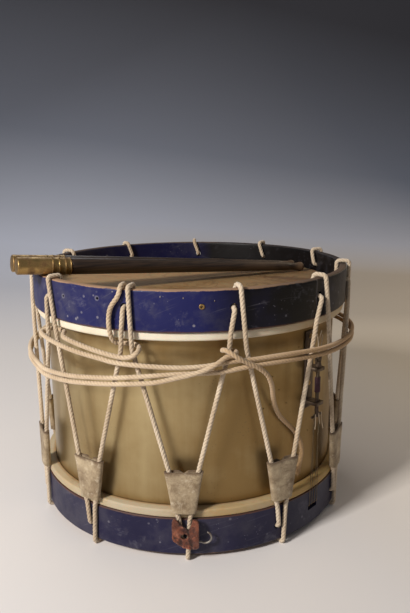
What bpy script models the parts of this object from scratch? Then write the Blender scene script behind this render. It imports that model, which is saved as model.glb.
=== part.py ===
"""Rope-tension marching drum: brass shell, painted wooden hoops, leather ears and a pair of sticks.

Lengths are metres, +Z is up and the front faces -Y. The drum stands on its rope bights at z = 0.
Places on the drum are polar: an angle in degrees, 0 at the front and growing towards +X, a radius
from the drum's axis and a height. Run with Blender 4.5: blender --background --python part.py
"""

import math

import bmesh
import bpy
import numpy as np
from mathutils import Matrix, Vector

# Lacing pattern
HOLES = 11
FACETS_PER_HOLE = 4
HOLE_PHASE = 14.2
CLEARANCE = 0.0003

# Shell and heads
SHELL_RADIUS = 0.185
SHELL_WALL = 0.0012
BEARING_ROLL = 0.0026
SKIN = 0.0008
SKIN_CORNER = 0.0016
SKIN_TUCK = 0.006
FLESH_HOOP_WALL = 0.009
FLESH_HOOP_HEIGHT = 0.0073
VENT_RADIUS = 0.003
VENT_ANGLE = 197.0

# Counterhoops
UPPER_PROUD = 0.0035
LOWER_PROUD = 0.0010
HOOP_WALL = 0.0095
HOOP_HEIGHT = 0.044
HOOP_EDGE = 0.0022
HOOP_SPACING = 0.2104
HEAD_RECESS = 0.025

# Rope and its holes
ROPE_RADIUS = 0.00275
ROPE_FLAT_SHARE = 0.1
HOLE_RADIUS = 0.004
HOLE_DEPTH = 0.0185
STRAND_OFFSET = 0.0032
WAIST_DROP = 0.063
PINCHED = {(9, -1): 0.0045, (10, -1): 0.0068, (10, 1): 0.0056, (0, -1): 0.0090, (0, 1): 0.0098}

# Spare rope: how finely it is measured, its steps round the back and the points that it keeps
GAP_STEP = 0.0015
BACK_STEPS = 13
KEPT_TURN = 15.0
KEPT_RUN = 0.030

# Leather ears
EAR_LENGTH = 0.047
EAR_WALL = 0.0018
EAR_FOOT_SPREAD = 0.0082
EAR_HEAD_SPREAD = 0.0156
EAR_PLAY = 0.0004

# Snare strainer and gut
SNARE_FACET = 4
GUT_RADIUS = 0.0006
GUT_STRANDS = 4
GUT_PITCH = 0.005
GATE_WIDTH = 0.018
GATE_HEIGHT = 0.006
STRAINER_DROP = 0.01765
STRAINER_HEIGHT = 0.092
STRAINER_WIDTH = 0.016
STRAINER_PLATE = 0.002
LUG_THICKNESS = 0.004
LOWER_LUG_RISE = 0.006
UPPER_LUG_RISE = 0.047
ROD_RADIUS = 0.00225
ROD_REACH = 0.0115
ROD_LENGTH = 0.076
ROD_DROP = 0.015
CROSSBAR_RADIUS = 0.0015
CROSSBAR_LENGTH = 0.019
WING_HUB_RADIUS = 0.0038
WING_HUB_HEIGHT = 0.007
WING_REACH = 0.0064
WING_THICKNESS = 0.0018
WING_RISE = 0.005
RIVET_RADIUS = 0.0013
RIVET_HEAD_RADIUS = 0.0028
RIVET_HEAD_HEIGHT = 0.001

# Belt tab and hook, from the middle of their two strands and the lower hoop's upper edge
TAB_LEFT = -0.0133
TAB_RIGHT = 0.0158
TAB_OUTLINE = (
    (TAB_LEFT, -0.0183), (-0.0119, -0.0218), (-0.0063, -0.0263), (-0.0009, -0.0296), (0.0077, -0.0318),
    (0.0134, -0.0313), (TAB_RIGHT, -0.0290), (TAB_RIGHT, -0.0001), (0.0142, 0.0037), (0.0096, 0.0043),
    (0.0078, -0.0013), (0.0050, -0.0088), (-0.0009, -0.0048), (-0.0063, 0.0007), (-0.0088, 0.0047),
    (-0.0120, 0.0047), (TAB_LEFT, 0.0007),
)
TAB_FLANGES = ((TAB_LEFT, -0.0173), (TAB_RIGHT, -0.0285))
TAB_FLANGE_TOP = -0.0013
TAB_LEATHER = 0.0022
TAB_HOLE_RADIUS = 0.0038
TAB_HOLE_DROP = 0.0157
HOOK_WIRE_RADIUS = 0.0011
HOOK_CURL_RADIUS = 0.0068
HOOK_REACH = 0.0066
HOOK_DROP = 0.0248

# Eyelet and old holes of the upper counterhoop
EYELET_ANGLE = 3.8
EYELET_DROP = 0.01665
EYELET_BORE = 0.0013
EYELET_WALL = 0.0006
EYELET_FLANGE_RADIUS = 0.0030
OLD_HOLE_RADIUS = 0.0016
OLD_HOLES = ((-28.5, 0.01215), (-43.2, 0.01565))

# Drumsticks
STICK_GAP = 0.0007
FERRULE_RADIUS = 0.0100
FERRULE_BEAD = 0.0004
FERRULE_LENGTH = 0.061
FERRULE_WALL = 0.0013
STICK_TIP_RADIUS = 0.0062
STICK_NECK_RADIUS = 0.0047
STICK_TIP_LENGTH = 0.013
STICK_REST = (-0.1607, -0.1024)
STICK_TIP_PLACE = (0.1520, 0.0570)
STICK_OVERHANG = 0.0340

# Where the drum's axis stands, so that the whole object's box is centred on the origin
AXIS_PLACE = (0.0008, 0.0003)

# Sizes worked out from those above
FACETS = HOLES * FACETS_PER_HOLE
FACET_ANGLE = 360.0 / FACETS
CELL_ANGLE = 360.0 / HOLES
FACET_SHARE = math.cos(math.radians(FACET_ANGLE / 2))
LEAN = ROPE_RADIUS + CLEARANCE
LOWER_RIM_Z = 2 * ROPE_RADIUS * (1 - ROPE_FLAT_SHARE) + CLEARANCE
LOWER_EDGE_Z = LOWER_RIM_Z + HOOP_HEIGHT
UPPER_EDGE_Z = LOWER_EDGE_Z + HOOP_SPACING
UPPER_RIM_Z = UPPER_EDGE_Z + HOOP_HEIGHT
BATTER_Z = UPPER_RIM_Z - HEAD_RECESS
SNARE_Z = LOWER_RIM_Z + HEAD_RECESS
UPPER_HOLE_Z = UPPER_RIM_Z - HOLE_DEPTH
LOWER_HOLE_Z = LOWER_RIM_Z + HOLE_DEPTH
SKIRT_RADIUS = SHELL_RADIUS + CLEARANCE + SKIN / 2
FLESH_INNER_RADIUS = SKIRT_RADIUS + SKIN / 2 + CLEARANCE
FLESH_OUTER_RADIUS = FLESH_INNER_RADIUS + FLESH_HOOP_WALL
LAP_RADIUS = FLESH_OUTER_RADIUS + CLEARANCE + SKIN / 2
UPPER_RADIUS = LAP_RADIUS + SKIN / 2 + UPPER_PROUD
LOWER_RADIUS = LAP_RADIUS + SKIN / 2 + LOWER_PROUD
LAP_OFFSET = CLEARANCE + SKIN
LAPPED_HEIGHT = FLESH_HOOP_HEIGHT + 2 * LAP_OFFSET
EAR_FOOT_Z = LOWER_EDGE_Z + LAPPED_HEIGHT + 2 * CLEARANCE
EAR_HEAD_Z = EAR_FOOT_Z + EAR_LENGTH
UPPER_FACE = UPPER_RADIUS * FACET_SHARE
UPPER_BACK = (UPPER_RADIUS - HOOP_WALL) * FACET_SHARE
LOWER_FACE = LOWER_RADIUS * FACET_SHARE
LOWER_BACK = (LOWER_RADIUS - HOOP_WALL) * FACET_SHARE
EAR_RADIUS = LOWER_FACE + LEAN
WAIST_Z = UPPER_RIM_Z - WAIST_DROP
SNARE_ANGLE = HOLE_PHASE + SNARE_FACET * FACET_ANGLE
SHELL_FACE = SHELL_RADIUS * FACET_SHARE
PLATE_RADIUS = SHELL_FACE + CLEARANCE
STRAINER_BASE_Z = UPPER_EDGE_Z - STRAINER_DROP - STRAINER_HEIGHT
LOWER_LUG_Z = STRAINER_BASE_Z + LOWER_LUG_RISE
UPPER_LUG_Z = STRAINER_BASE_Z + UPPER_LUG_RISE
ROD_FOOT_Z = LOWER_LUG_Z - ROD_DROP
ROD_AXIS_RADIUS = PLATE_RADIUS + STRAINER_PLATE + ROD_REACH


def polar(angle, radius, height):
    """The point at an angle, radius and height round the drum's axis."""
    turn = math.radians(angle)
    return Vector((radius * math.sin(turn), -radius * math.cos(turn), height))


def facing(angle, radius, height):
    """A frame on the drum: X along the hoop, -Y outwards and Z up."""
    return Matrix.Translation(polar(angle, radius, height)) @ Matrix.Rotation(math.radians(angle), 4, "Z")


def arc_degrees(length, radius):
    """The angle that a length covers at a radius."""
    return math.degrees(length / radius)


# Scene, materials and objects

def clear_scene():
    """Removes every object that the file opened with."""
    for item in list(bpy.data.objects):
        bpy.data.objects.remove(item, do_unlink=True)


def make_material(name, colour, roughness, metallic=0.0):
    """A Principled material of one colour."""
    material = bpy.data.materials.new(name)
    material.use_nodes = True
    shader = material.node_tree.nodes["Principled BSDF"]
    shader.inputs["Base Color"].default_value = (*colour, 1.0)
    shader.inputs["Roughness"].default_value = roughness
    shader.inputs["Metallic"].default_value = metallic
    material.diffuse_color = (*colour, 1.0)
    return material


class Workshop:
    """The collections, the drum's axis and the materials that every piece uses."""

    def __init__(self):
        self.parts = bpy.data.collections.new("marching_drum")
        self.cutters = bpy.data.collections.new("cutters")
        for collection in (self.parts, self.cutters):
            bpy.context.scene.collection.children.link(collection)
        self.axis = bpy.data.objects.new("drum_axis", None)
        self.axis.location = (*AXIS_PLACE, 0.0)
        self.parts.objects.link(self.axis)
        self.materials = {
            "brass": make_material("brass", (0.42, 0.34, 0.18), 0.38, 0.9),
            "blue_paint": make_material("blue_paint", (0.03, 0.04, 0.16), 0.42),
            "bare_wood": make_material("bare_wood", (0.50, 0.36, 0.20), 0.60),
            "calfskin": make_material("calfskin", (0.72, 0.62, 0.42), 0.55),
            "rope": make_material("rope", (0.46, 0.35, 0.24), 0.85),
            "buff_leather": make_material("buff_leather", (0.40, 0.32, 0.25), 0.80),
            "red_leather": make_material("red_leather", (0.32, 0.10, 0.06), 0.65),
            "iron": make_material("iron", (0.10, 0.09, 0.08), 0.50, 0.8),
            "steel": make_material("steel", (0.45, 0.43, 0.40), 0.35, 1.0),
            "gut": make_material("gut", (0.66, 0.52, 0.32), 0.45),
            "aged_brass": make_material("aged_brass", (0.35, 0.22, 0.09), 0.35, 0.95),
            "dark_wood": make_material("dark_wood", (0.05, 0.03, 0.025), 0.30),
        }

    def keep(self, item, material, frame=None):
        """Puts a piece in the drum's collection, on its axis, at its place in the drum's frame."""
        self._link(item, self.parts, material)
        item.parent = self.axis
        item.matrix_local = frame if frame is not None else Matrix.Identity(4)
        return item

    def tool(self, item, frame=None):
        """Puts a cutter or guide among the cutters, drawn as wire."""
        self._link(item, self.cutters, None)
        item.parent = self.axis
        item.matrix_local = frame if frame is not None else Matrix.Identity(4)
        item.hide_render = True
        item.display_type = "WIRE"
        return item

    def _link(self, item, collection, material):
        for old in list(item.users_collection):
            old.objects.unlink(item)
        collection.objects.link(item)
        if material is not None:
            item.data.materials.clear()
            item.data.materials.append(self.materials[material])


# Modelling helpers

def mesh_object(name, bm):
    """Turns a bmesh into an object and frees it."""
    mesh = bpy.data.meshes.new(name)
    bm.to_mesh(mesh)
    bm.free()
    return bpy.data.objects.new(name, mesh)


def smooth(item, angle=35.0):
    """Shades a mesh smooth, with its hard edges kept."""
    item.data.shade_smooth()
    item.data.set_sharp_from_angle(angle=math.radians(angle))


def turned(name, profile, steps, closed=True):
    """A profile of (radius, height) points turned about Z with a Screw modifier.

    The points run from the top down the outer side. An open profile starts on the axis.
    """
    bm = bmesh.new()
    points = [bm.verts.new((radius, 0.0, height)) for radius, height in profile]
    links = list(zip(points, points[1:]))
    if closed:
        links.append((points[-1], points[0]))
    for first, second in links:
        bm.edges.new((first, second))
    item = mesh_object(name, bm)
    screw = item.modifiers.new("turn", "SCREW")
    screw.axis = "Z"
    screw.steps = steps
    screw.render_steps = steps
    screw.use_merge_vertices = True
    screw.merge_threshold = 0.00001
    screw.use_smooth_shade = True
    return item


def cylinder(name, radius, depth, sides, along="Z", turn=0.0):
    """A capped cylinder centred on its origin, along X, Y or Z."""
    bm = bmesh.new()
    bmesh.ops.create_cone(
        bm, cap_ends=True, segments=sides, radius1=radius, radius2=radius, depth=depth,
        matrix=Matrix.Rotation(math.radians(turn), 4, "Z"),
    )
    axes = {"Z": (0.0, "X"), "Y": (90.0, "X"), "X": (90.0, "Y")}
    angle, axis = axes[along]
    bmesh.ops.rotate(bm, verts=bm.verts, cent=(0, 0, 0), matrix=Matrix.Rotation(math.radians(angle), 3, axis))
    item = mesh_object(name, bm)
    smooth(item)
    return item


def box(name, size, centre=(0.0, 0.0, 0.0)):
    """A box of a size, about a centre in its own frame."""
    bm = bmesh.new()
    bmesh.ops.create_cube(bm, size=1.0)
    bmesh.ops.scale(bm, vec=size, verts=bm.verts)
    bmesh.ops.translate(bm, vec=centre, verts=bm.verts)
    return mesh_object(name, bm)


def slab(name, outline, back, front):
    """A flat sheet with an outline of (x, z) points, between two depths along Y."""
    bm = bmesh.new()
    face = bm.faces.new([bm.verts.new((x, back, z)) for x, z in outline])
    grown = bmesh.ops.extrude_face_region(bm, geom=[face])
    moved = [item for item in grown["geom"] if isinstance(item, bmesh.types.BMVert)]
    bmesh.ops.translate(bm, vec=(0.0, front - back, 0.0), verts=moved)
    bmesh.ops.recalc_face_normals(bm, faces=bm.faces)
    return mesh_object(name, bm)


def joined(name, items):
    """Several meshes as one object, which stay separate solids, such as a row of cutters."""
    bm = bmesh.new()
    for item, frame in items:
        part = item.data.copy()
        part.transform(frame)
        bm.from_mesh(part)
        bpy.data.meshes.remove(part)
    for item in {item for item, _ in items}:
        bpy.data.objects.remove(item)
    return mesh_object(name, bm)


def even_shading(item):
    """Keeps a cut ring's round faces smooth beside its cuts."""
    item.modifiers.new("shading", "WEIGHTED_NORMAL")


def combine(item, tool, operation):
    """Adds an exact Boolean with another object."""
    step = item.modifiers.new(f"{operation.lower()}_{tool.name}", "BOOLEAN")
    step.operation = operation
    step.object = tool
    step.solver = "EXACT"


def tube(name, points, radius, resolution=2):
    """A round rope or wire along points, as a curve with filled caps."""
    curve = bpy.data.curves.new(name, "CURVE")
    curve.dimensions = "3D"
    curve.bevel_depth = radius
    curve.bevel_resolution = resolution
    curve.render_resolution_u = 0
    curve.use_fill_caps = True
    spline = curve.splines.new("POLY")
    spline.points.add(len(points) - 1)
    for slot, point in zip(spline.points, points):
        slot.co = (*point, 1.0)
        slot.tilt = 0.0
    spline.use_smooth = True
    return bpy.data.objects.new(name, curve)


def as_mesh(item):
    """A curve object turned into a mesh object of the same name, its caps welded."""
    bpy.context.scene.collection.objects.link(item)
    ready = item.evaluated_get(bpy.context.evaluated_depsgraph_get())
    mesh = bpy.data.meshes.new_from_object(ready)
    bm = bmesh.new()
    bm.from_mesh(mesh)
    bmesh.ops.remove_doubles(bm, verts=bm.verts, dist=0.000001)
    bm.to_mesh(mesh)
    bm.free()
    name = item.name
    place = item.matrix_world.copy()
    bpy.data.objects.remove(item, do_unlink=True)
    mesh.name = name
    solid = bpy.data.objects.new(name, mesh)
    solid.matrix_world = place
    return solid


def smooth_route(points, steps):
    """Points on a smooth curve through the given ones, that many to a stretch."""
    knots = [Vector(point) for point in points]
    ends = [2 * knots[0] - knots[1], *knots, 2 * knots[-1] - knots[-2]]
    route = []
    for before, start, end, after in zip(ends, ends[1:], ends[2:], ends[3:]):
        for step in range(steps):
            t = step / steps
            route.append(0.5 * (
                2 * start + (end - before) * t
                + (2 * before - 5 * start + 4 * end - after) * t ** 2
                + (3 * start - 3 * end + after - before) * t ** 3
            ))
    route.append(knots[-1])
    return route


def thinned(points, turn, stride):
    """The points that a route needs: one where it has turned by an angle, or run for a length."""
    kept = [points[0], points[1]]
    run = 0.0
    for before, here, after in zip(points[1:], points[2:], points[3:]):
        run += (here - before).length
        if (kept[-1] - kept[-2]).angle(after - here) > math.radians(turn) or run > stride:
            kept.append(here)
            run = 0.0
    return kept + [points[-1]]


def least_gap(points, diameter, apart):
    """The least gap between stretches of a rope that are at least a length apart along it."""
    line = np.array([tuple(point) for point in points])
    lengths = np.linalg.norm(np.diff(line, axis=0), axis=1)
    along = np.concatenate([[0.0], np.cumsum(lengths)])
    places = np.linspace(0.0, along[-1], int(along[-1] / GAP_STEP))
    fine = np.stack([np.interp(places, along, line[:, axis]) for axis in range(3)], axis=1)
    skip = int(apart / GAP_STEP)
    least = math.inf
    for index in range(len(fine) - skip):
        others = fine[index + skip:] - fine[index]
        least = min(least, float(np.sqrt((others ** 2).sum(axis=1).min())))
    return least - diameter


# Shell, heads and hoops

def add_shell(shop):
    """The brass shell, with its bearing edges rolled inwards, its vent and its rivet holes."""
    top = BATTER_Z - SKIN - CLEARANCE
    foot = SNARE_Z + SKIN + CLEARANCE
    inner = SHELL_RADIUS - SHELL_WALL
    roll = SHELL_RADIUS - BEARING_ROLL
    shell = turned("shell", [
        (roll, top), (SHELL_RADIUS - SHELL_WALL / 2, top), (SHELL_RADIUS, top - SHELL_WALL / 2),
        (SHELL_RADIUS, foot + SHELL_WALL / 2), (SHELL_RADIUS - SHELL_WALL / 2, foot), (roll, foot),
        (roll, foot + BEARING_ROLL), (inner, foot + 2 * BEARING_ROLL),
        (inner, top - 2 * BEARING_ROLL), (roll, top - BEARING_ROLL),
    ], FACETS)
    shop.keep(shell, "brass", ring_frame())
    drill = cylinder("drill", RIVET_RADIUS + CLEARANCE, 4 * BEARING_ROLL, 8, "Y")
    holes = [(drill, facing(SNARE_ANGLE, SHELL_RADIUS, height)) for height in rivet_heights()]
    vent = cylinder("vent", VENT_RADIUS, 4 * BEARING_ROLL, 12, "Y")
    middle = (BATTER_Z + SNARE_Z) / 2
    holes.append((vent, facing(VENT_ANGLE, SHELL_RADIUS, middle)))
    combine(shell, shop.tool(joined("shell_holes", holes)), "DIFFERENCE")
    even_shading(shell)


def ring_frame():
    """Turned rings stand so that every lacing hole is at the middle of a facet."""
    return Matrix.Rotation(math.radians(HOLE_PHASE - 90.0 + FACET_ANGLE / 2), 4, "Z")


def add_head(shop, name, face_z, hoop_edge_z, up):
    """A calfskin over the bearing edge, its rim lapped round the flesh hoop and tucked inside it.

    up is 1 for the batter head and -1 for the snare head, which is the same skin upside down.
    """
    face = face_z - up * SKIN / 2
    near = hoop_edge_z - up * (CLEARANCE + SKIN / 2)
    far = hoop_edge_z - up * (CLEARANCE + LAPPED_HEIGHT - SKIN / 2)
    profile = [
        (0.0, face), (SKIRT_RADIUS - SKIN_CORNER, face),
        (SKIRT_RADIUS - SKIN_CORNER / 3, face - up * SKIN_CORNER / 3),
        (SKIRT_RADIUS, face - up * SKIN_CORNER), (SKIRT_RADIUS, near),
        (LAP_RADIUS, near), (LAP_RADIUS, far),
        (SKIRT_RADIUS, far), (SKIRT_RADIUS, far + up * SKIN_TUCK),
    ]
    head = turned(name, profile, FACETS, closed=False)
    wall = head.modifiers.new("thickness", "SOLIDIFY")
    wall.thickness = SKIN
    wall.offset = 0.0
    wall.use_even_offset = True
    shop.keep(head, "calfskin", ring_frame())


def add_flesh_hoop(shop, name, hoop_edge_z, up):
    """The wooden hoop that the skin is lapped round."""
    near = hoop_edge_z - up * (CLEARANCE + LAP_OFFSET)
    far = near - up * FLESH_HOOP_HEIGHT
    top, foot = max(near, far), min(near, far)
    hoop = turned(name, [
        (FLESH_INNER_RADIUS, top), (FLESH_OUTER_RADIUS, top),
        (FLESH_OUTER_RADIUS, foot), (FLESH_INNER_RADIUS, foot),
    ], FACETS)
    shop.keep(hoop, "bare_wood", ring_frame())


def add_counterhoop(shop, name, radius, foot, up, hole_z, first_angle, cuts):
    """A painted hoop with a lacing hole at each bight, its outer rim rounded."""
    inner = radius - HOOP_WALL
    top = foot + HOOP_HEIGHT
    soft = HOOP_EDGE / 3
    crown = [
        (inner, -HOOP_EDGE), (inner + soft, -soft), (inner + HOOP_EDGE, 0.0),
        (radius - HOOP_EDGE, 0.0), (radius - soft, -soft), (radius, -HOOP_EDGE),
    ]
    if up > 0:
        profile = [(r, top + z) for r, z in crown] + [(radius, foot), (inner, foot)]
    else:
        profile = [(inner, top), (radius, top)] + [(r, foot - z) for r, z in reversed(crown)]
    hoop = turned(name, profile, FACETS)
    shop.keep(hoop, "blue_paint", ring_frame())
    drill = cylinder("drill", HOLE_RADIUS / math.cos(math.pi / 8), 3 * HOOP_WALL, 8, "Y", turn=22.5)
    shift = arc_degrees(STRAND_OFFSET, radius)
    middle = radius - HOOP_WALL / 2
    places = [first_angle + index * CELL_ANGLE - shift for index in range(HOLES)]
    holes = [(drill, facing(angle, middle, hole_z)) for angle in places]
    combine(hoop, shop.tool(joined(f"{name}_holes", holes + cuts)), "DIFFERENCE")
    even_shading(hoop)


def add_hoops(shop):
    """Both counterhoops, with the eyelet's hole and old holes above and the snare gates below."""
    middle = UPPER_RADIUS - HOOP_WALL / 2
    old = cylinder("old_drill", OLD_HOLE_RADIUS, 3 * HOOP_WALL, 8, "Y")
    seat = cylinder("eyelet_drill", EYELET_BORE + EYELET_WALL + CLEARANCE, 3 * HOOP_WALL, 12, "Y")
    cuts = [(old, facing(angle, middle, UPPER_RIM_Z - drop)) for angle, drop in OLD_HOLES]
    cuts.append((seat, facing(EYELET_ANGLE, middle, UPPER_RIM_Z - EYELET_DROP)))
    add_counterhoop(shop, "upper_counterhoop", UPPER_RADIUS, UPPER_EDGE_Z, 1, UPPER_HOLE_Z, HOLE_PHASE, cuts)
    gate = box("gate", (GATE_WIDTH, 3 * HOOP_WALL, GATE_HEIGHT))
    gate_place = facing(SNARE_ANGLE, LOWER_RADIUS - HOOP_WALL / 2, SNARE_Z - GATE_HEIGHT / 2)
    first = HOLE_PHASE + CELL_ANGLE / 2
    add_counterhoop(shop, "lower_counterhoop", LOWER_RADIUS, LOWER_RIM_Z, -1, LOWER_HOLE_Z, first,
                    [(gate, gate_place)])


def add_eyelet(shop):
    """A small brass eyelet through the upper counterhoop."""
    tube_radius = EYELET_BORE + EYELET_WALL
    face = UPPER_RADIUS + CLEARANCE
    back = UPPER_RADIUS - HOOP_WALL - face
    rim = EYELET_FLANGE_RADIUS
    eyelet = turned("hoop_eyelet", [
        (EYELET_BORE, EYELET_WALL), (rim - EYELET_WALL, EYELET_WALL), (rim, 0.0),
        (tube_radius, 0.0), (tube_radius, back), (EYELET_BORE, back),
    ], 12)
    outwards = facing(EYELET_ANGLE, face, UPPER_RIM_Z - EYELET_DROP) @ Matrix.Rotation(math.radians(90), 4, "X")
    shop.keep(eyelet, "aged_brass", outwards)


# Lacing rope and ears

def bend(radius, height, start, end, lean=LEAN):
    """Two places on the way round a corner, a lean away from it, between two directions."""
    reach = lean / math.cos(math.radians(22.5))
    turn = math.copysign(22.5, end - start)
    for direction in (start + turn, end - turn):
        a = math.radians(direction)
        yield radius + reach * math.cos(a), height + reach * math.sin(a)


def waist_gap(index, side):
    """How far a strand is from the middle of its pair at the height where the spare rope draws it in."""
    straight = STRAND_OFFSET + WAIST_DROP * strand_slope()
    return PINCHED.get((index % HOLES, side), straight)


def strand_slope():
    """How far a straight strand moves along the hoop for each metre that it drops."""
    across = math.radians(CELL_ANGLE / 2) * UPPER_RADIUS - STRAND_OFFSET - EAR_HEAD_SPREAD
    return across / (UPPER_RIM_Z - EAR_HEAD_Z)


def strand(index, foot, side):
    """The free strand from an upper hole's pair down to an ear, side 1 for the one that goes right."""
    top = foot - side * CELL_ANGLE / 2
    outer = UPPER_RADIUS + LEAN
    hitch = waist_gap(index, side)
    edge = STRAND_OFFSET + (hitch - STRAND_OFFSET) * HOOP_HEIGHT / WAIST_DROP
    return [
        (top + side * arc_degrees(edge, outer), outer, UPPER_EDGE_Z),
        (top + side * arc_degrees(hitch, outer), outer - CLEARANCE, WAIST_Z),
        (foot - side * arc_degrees(EAR_HEAD_SPREAD, EAR_RADIUS), EAR_RADIUS + CLEARANCE, EAR_HEAD_Z),
        (foot - side * arc_degrees(EAR_FOOT_SPREAD, EAR_RADIUS), EAR_RADIUS, EAR_FOOT_Z),
        (foot - side * arc_degrees((EAR_FOOT_SPREAD + STRAND_OFFSET) / 2, EAR_RADIUS), EAR_RADIUS, LOWER_EDGE_Z),
    ]


def lacing_route(index):
    """One length of lacing: over the upper rim, down through an ear, under the lower rim and up again."""
    top = HOLE_PHASE + index * CELL_ANGLE
    foot = top + CELL_ANGLE / 2
    following = top + CELL_ANGLE
    high = arc_degrees(STRAND_OFFSET, UPPER_RADIUS)
    low = arc_degrees(STRAND_OFFSET, LOWER_RADIUS)
    middle = (UPPER_FACE + UPPER_BACK) / 2
    places = [(top + high, middle + CLEARANCE / 2, UPPER_RIM_Z + LEAN)]
    places += [(top + high, r, z) for r, z in bend(UPPER_FACE, UPPER_RIM_Z, 90, 0)]
    places += strand(index, foot, 1)
    places += [(foot - low, r, z) for r, z in bend(LOWER_FACE, LOWER_HOLE_Z + HOLE_RADIUS, 0, -90)]
    places += [(foot - low, r, z) for r, z in bend(LOWER_BACK, LOWER_HOLE_Z - HOLE_RADIUS, 90, 180)]
    places += [(foot + low, r, z) for r, z in bend(LOWER_BACK, LOWER_RIM_Z, 180, 270)]
    places += [(foot + low, r, z) for r, z in bend(LOWER_FACE, LOWER_RIM_Z, 270, 360)]
    places += reversed(strand(index + 1, foot, -1))
    places += [(following - high, r, z) for r, z in bend(UPPER_FACE, UPPER_HOLE_Z - HOLE_RADIUS, 0, 90)]
    places += [(following - high, r, z) for r, z in bend(UPPER_BACK, UPPER_HOLE_Z + HOLE_RADIUS, 270, 180)]
    places += [(following + high, r, z) for r, z in bend(UPPER_BACK, UPPER_RIM_Z, 180, 90)]
    places.append((following + high, middle - CLEARANCE / 2, UPPER_RIM_Z + LEAN))
    return [polar(*place) for place in places]


def add_lacing(shop):
    """Eleven lengths of lacing, cut flat where the drum stands on them."""
    reach = 3 * UPPER_RADIUS
    floor = shop.tool(box("floor_cut", (reach, reach, LEAN), (0.0, 0.0, -LEAN / 2)))
    for index in range(HOLES):
        rope = as_mesh(tube(f"tension_rope_{index + 1:02d}", lacing_route(index), ROPE_RADIUS))
        smooth(rope, 60)
        combine(shop.keep(rope, "rope"), floor, "DIFFERENCE")


def ear_outline(spread):
    """Half the ear's outline at a height, between the leather and the two strands in it."""
    half_width = spread + ROPE_RADIUS + EAR_PLAY + EAR_WALL
    half_depth = ROPE_RADIUS + EAR_PLAY + EAR_WALL
    return half_width, half_depth


def add_ears(shop):
    """Open leather sleeves, wide at the top, one over each pair of strands."""
    turn = 90.0 / 4
    bm = bmesh.new()
    rings = []
    for spread, height in ((EAR_HEAD_SPREAD, EAR_LENGTH), (EAR_FOOT_SPREAD, 0.0)):
        half_width, half_depth = ear_outline(spread)
        straight = half_width - half_depth
        ring = []
        for corner in range(8):
            a = math.radians(turn + corner * 45.0)
            reach = half_depth / math.cos(math.radians(turn))
            x = reach * math.cos(a) + math.copysign(straight, math.cos(a))
            ring.append(bm.verts.new((x, reach * math.sin(a), height)))
        rings.append(ring)
    edges = []
    for ring in rings:
        edges += [bm.edges.new((ring[i], ring[(i + 1) % len(ring)])) for i in range(len(ring))]
    bmesh.ops.bridge_loops(bm, edges=edges)
    bmesh.ops.recalc_face_normals(bm, faces=bm.faces)
    sleeve = mesh_object("ear", bm)
    smooth(sleeve, 60)
    for index in range(HOLES):
        ear = bpy.data.objects.new(f"ear_{index + 1:02d}", sleeve.data)
        wall = ear.modifiers.new("leather", "SOLIDIFY")
        wall.thickness = EAR_WALL
        wall.offset = -1.0
        wall.use_even_offset = True
        angle = HOLE_PHASE + (index + 0.5) * CELL_ANGLE
        shop.keep(ear, "buff_leather", facing(angle, EAR_RADIUS, EAR_FOOT_Z))
    bpy.data.objects.remove(sleeve)


# Spare rope wound round the drum

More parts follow.
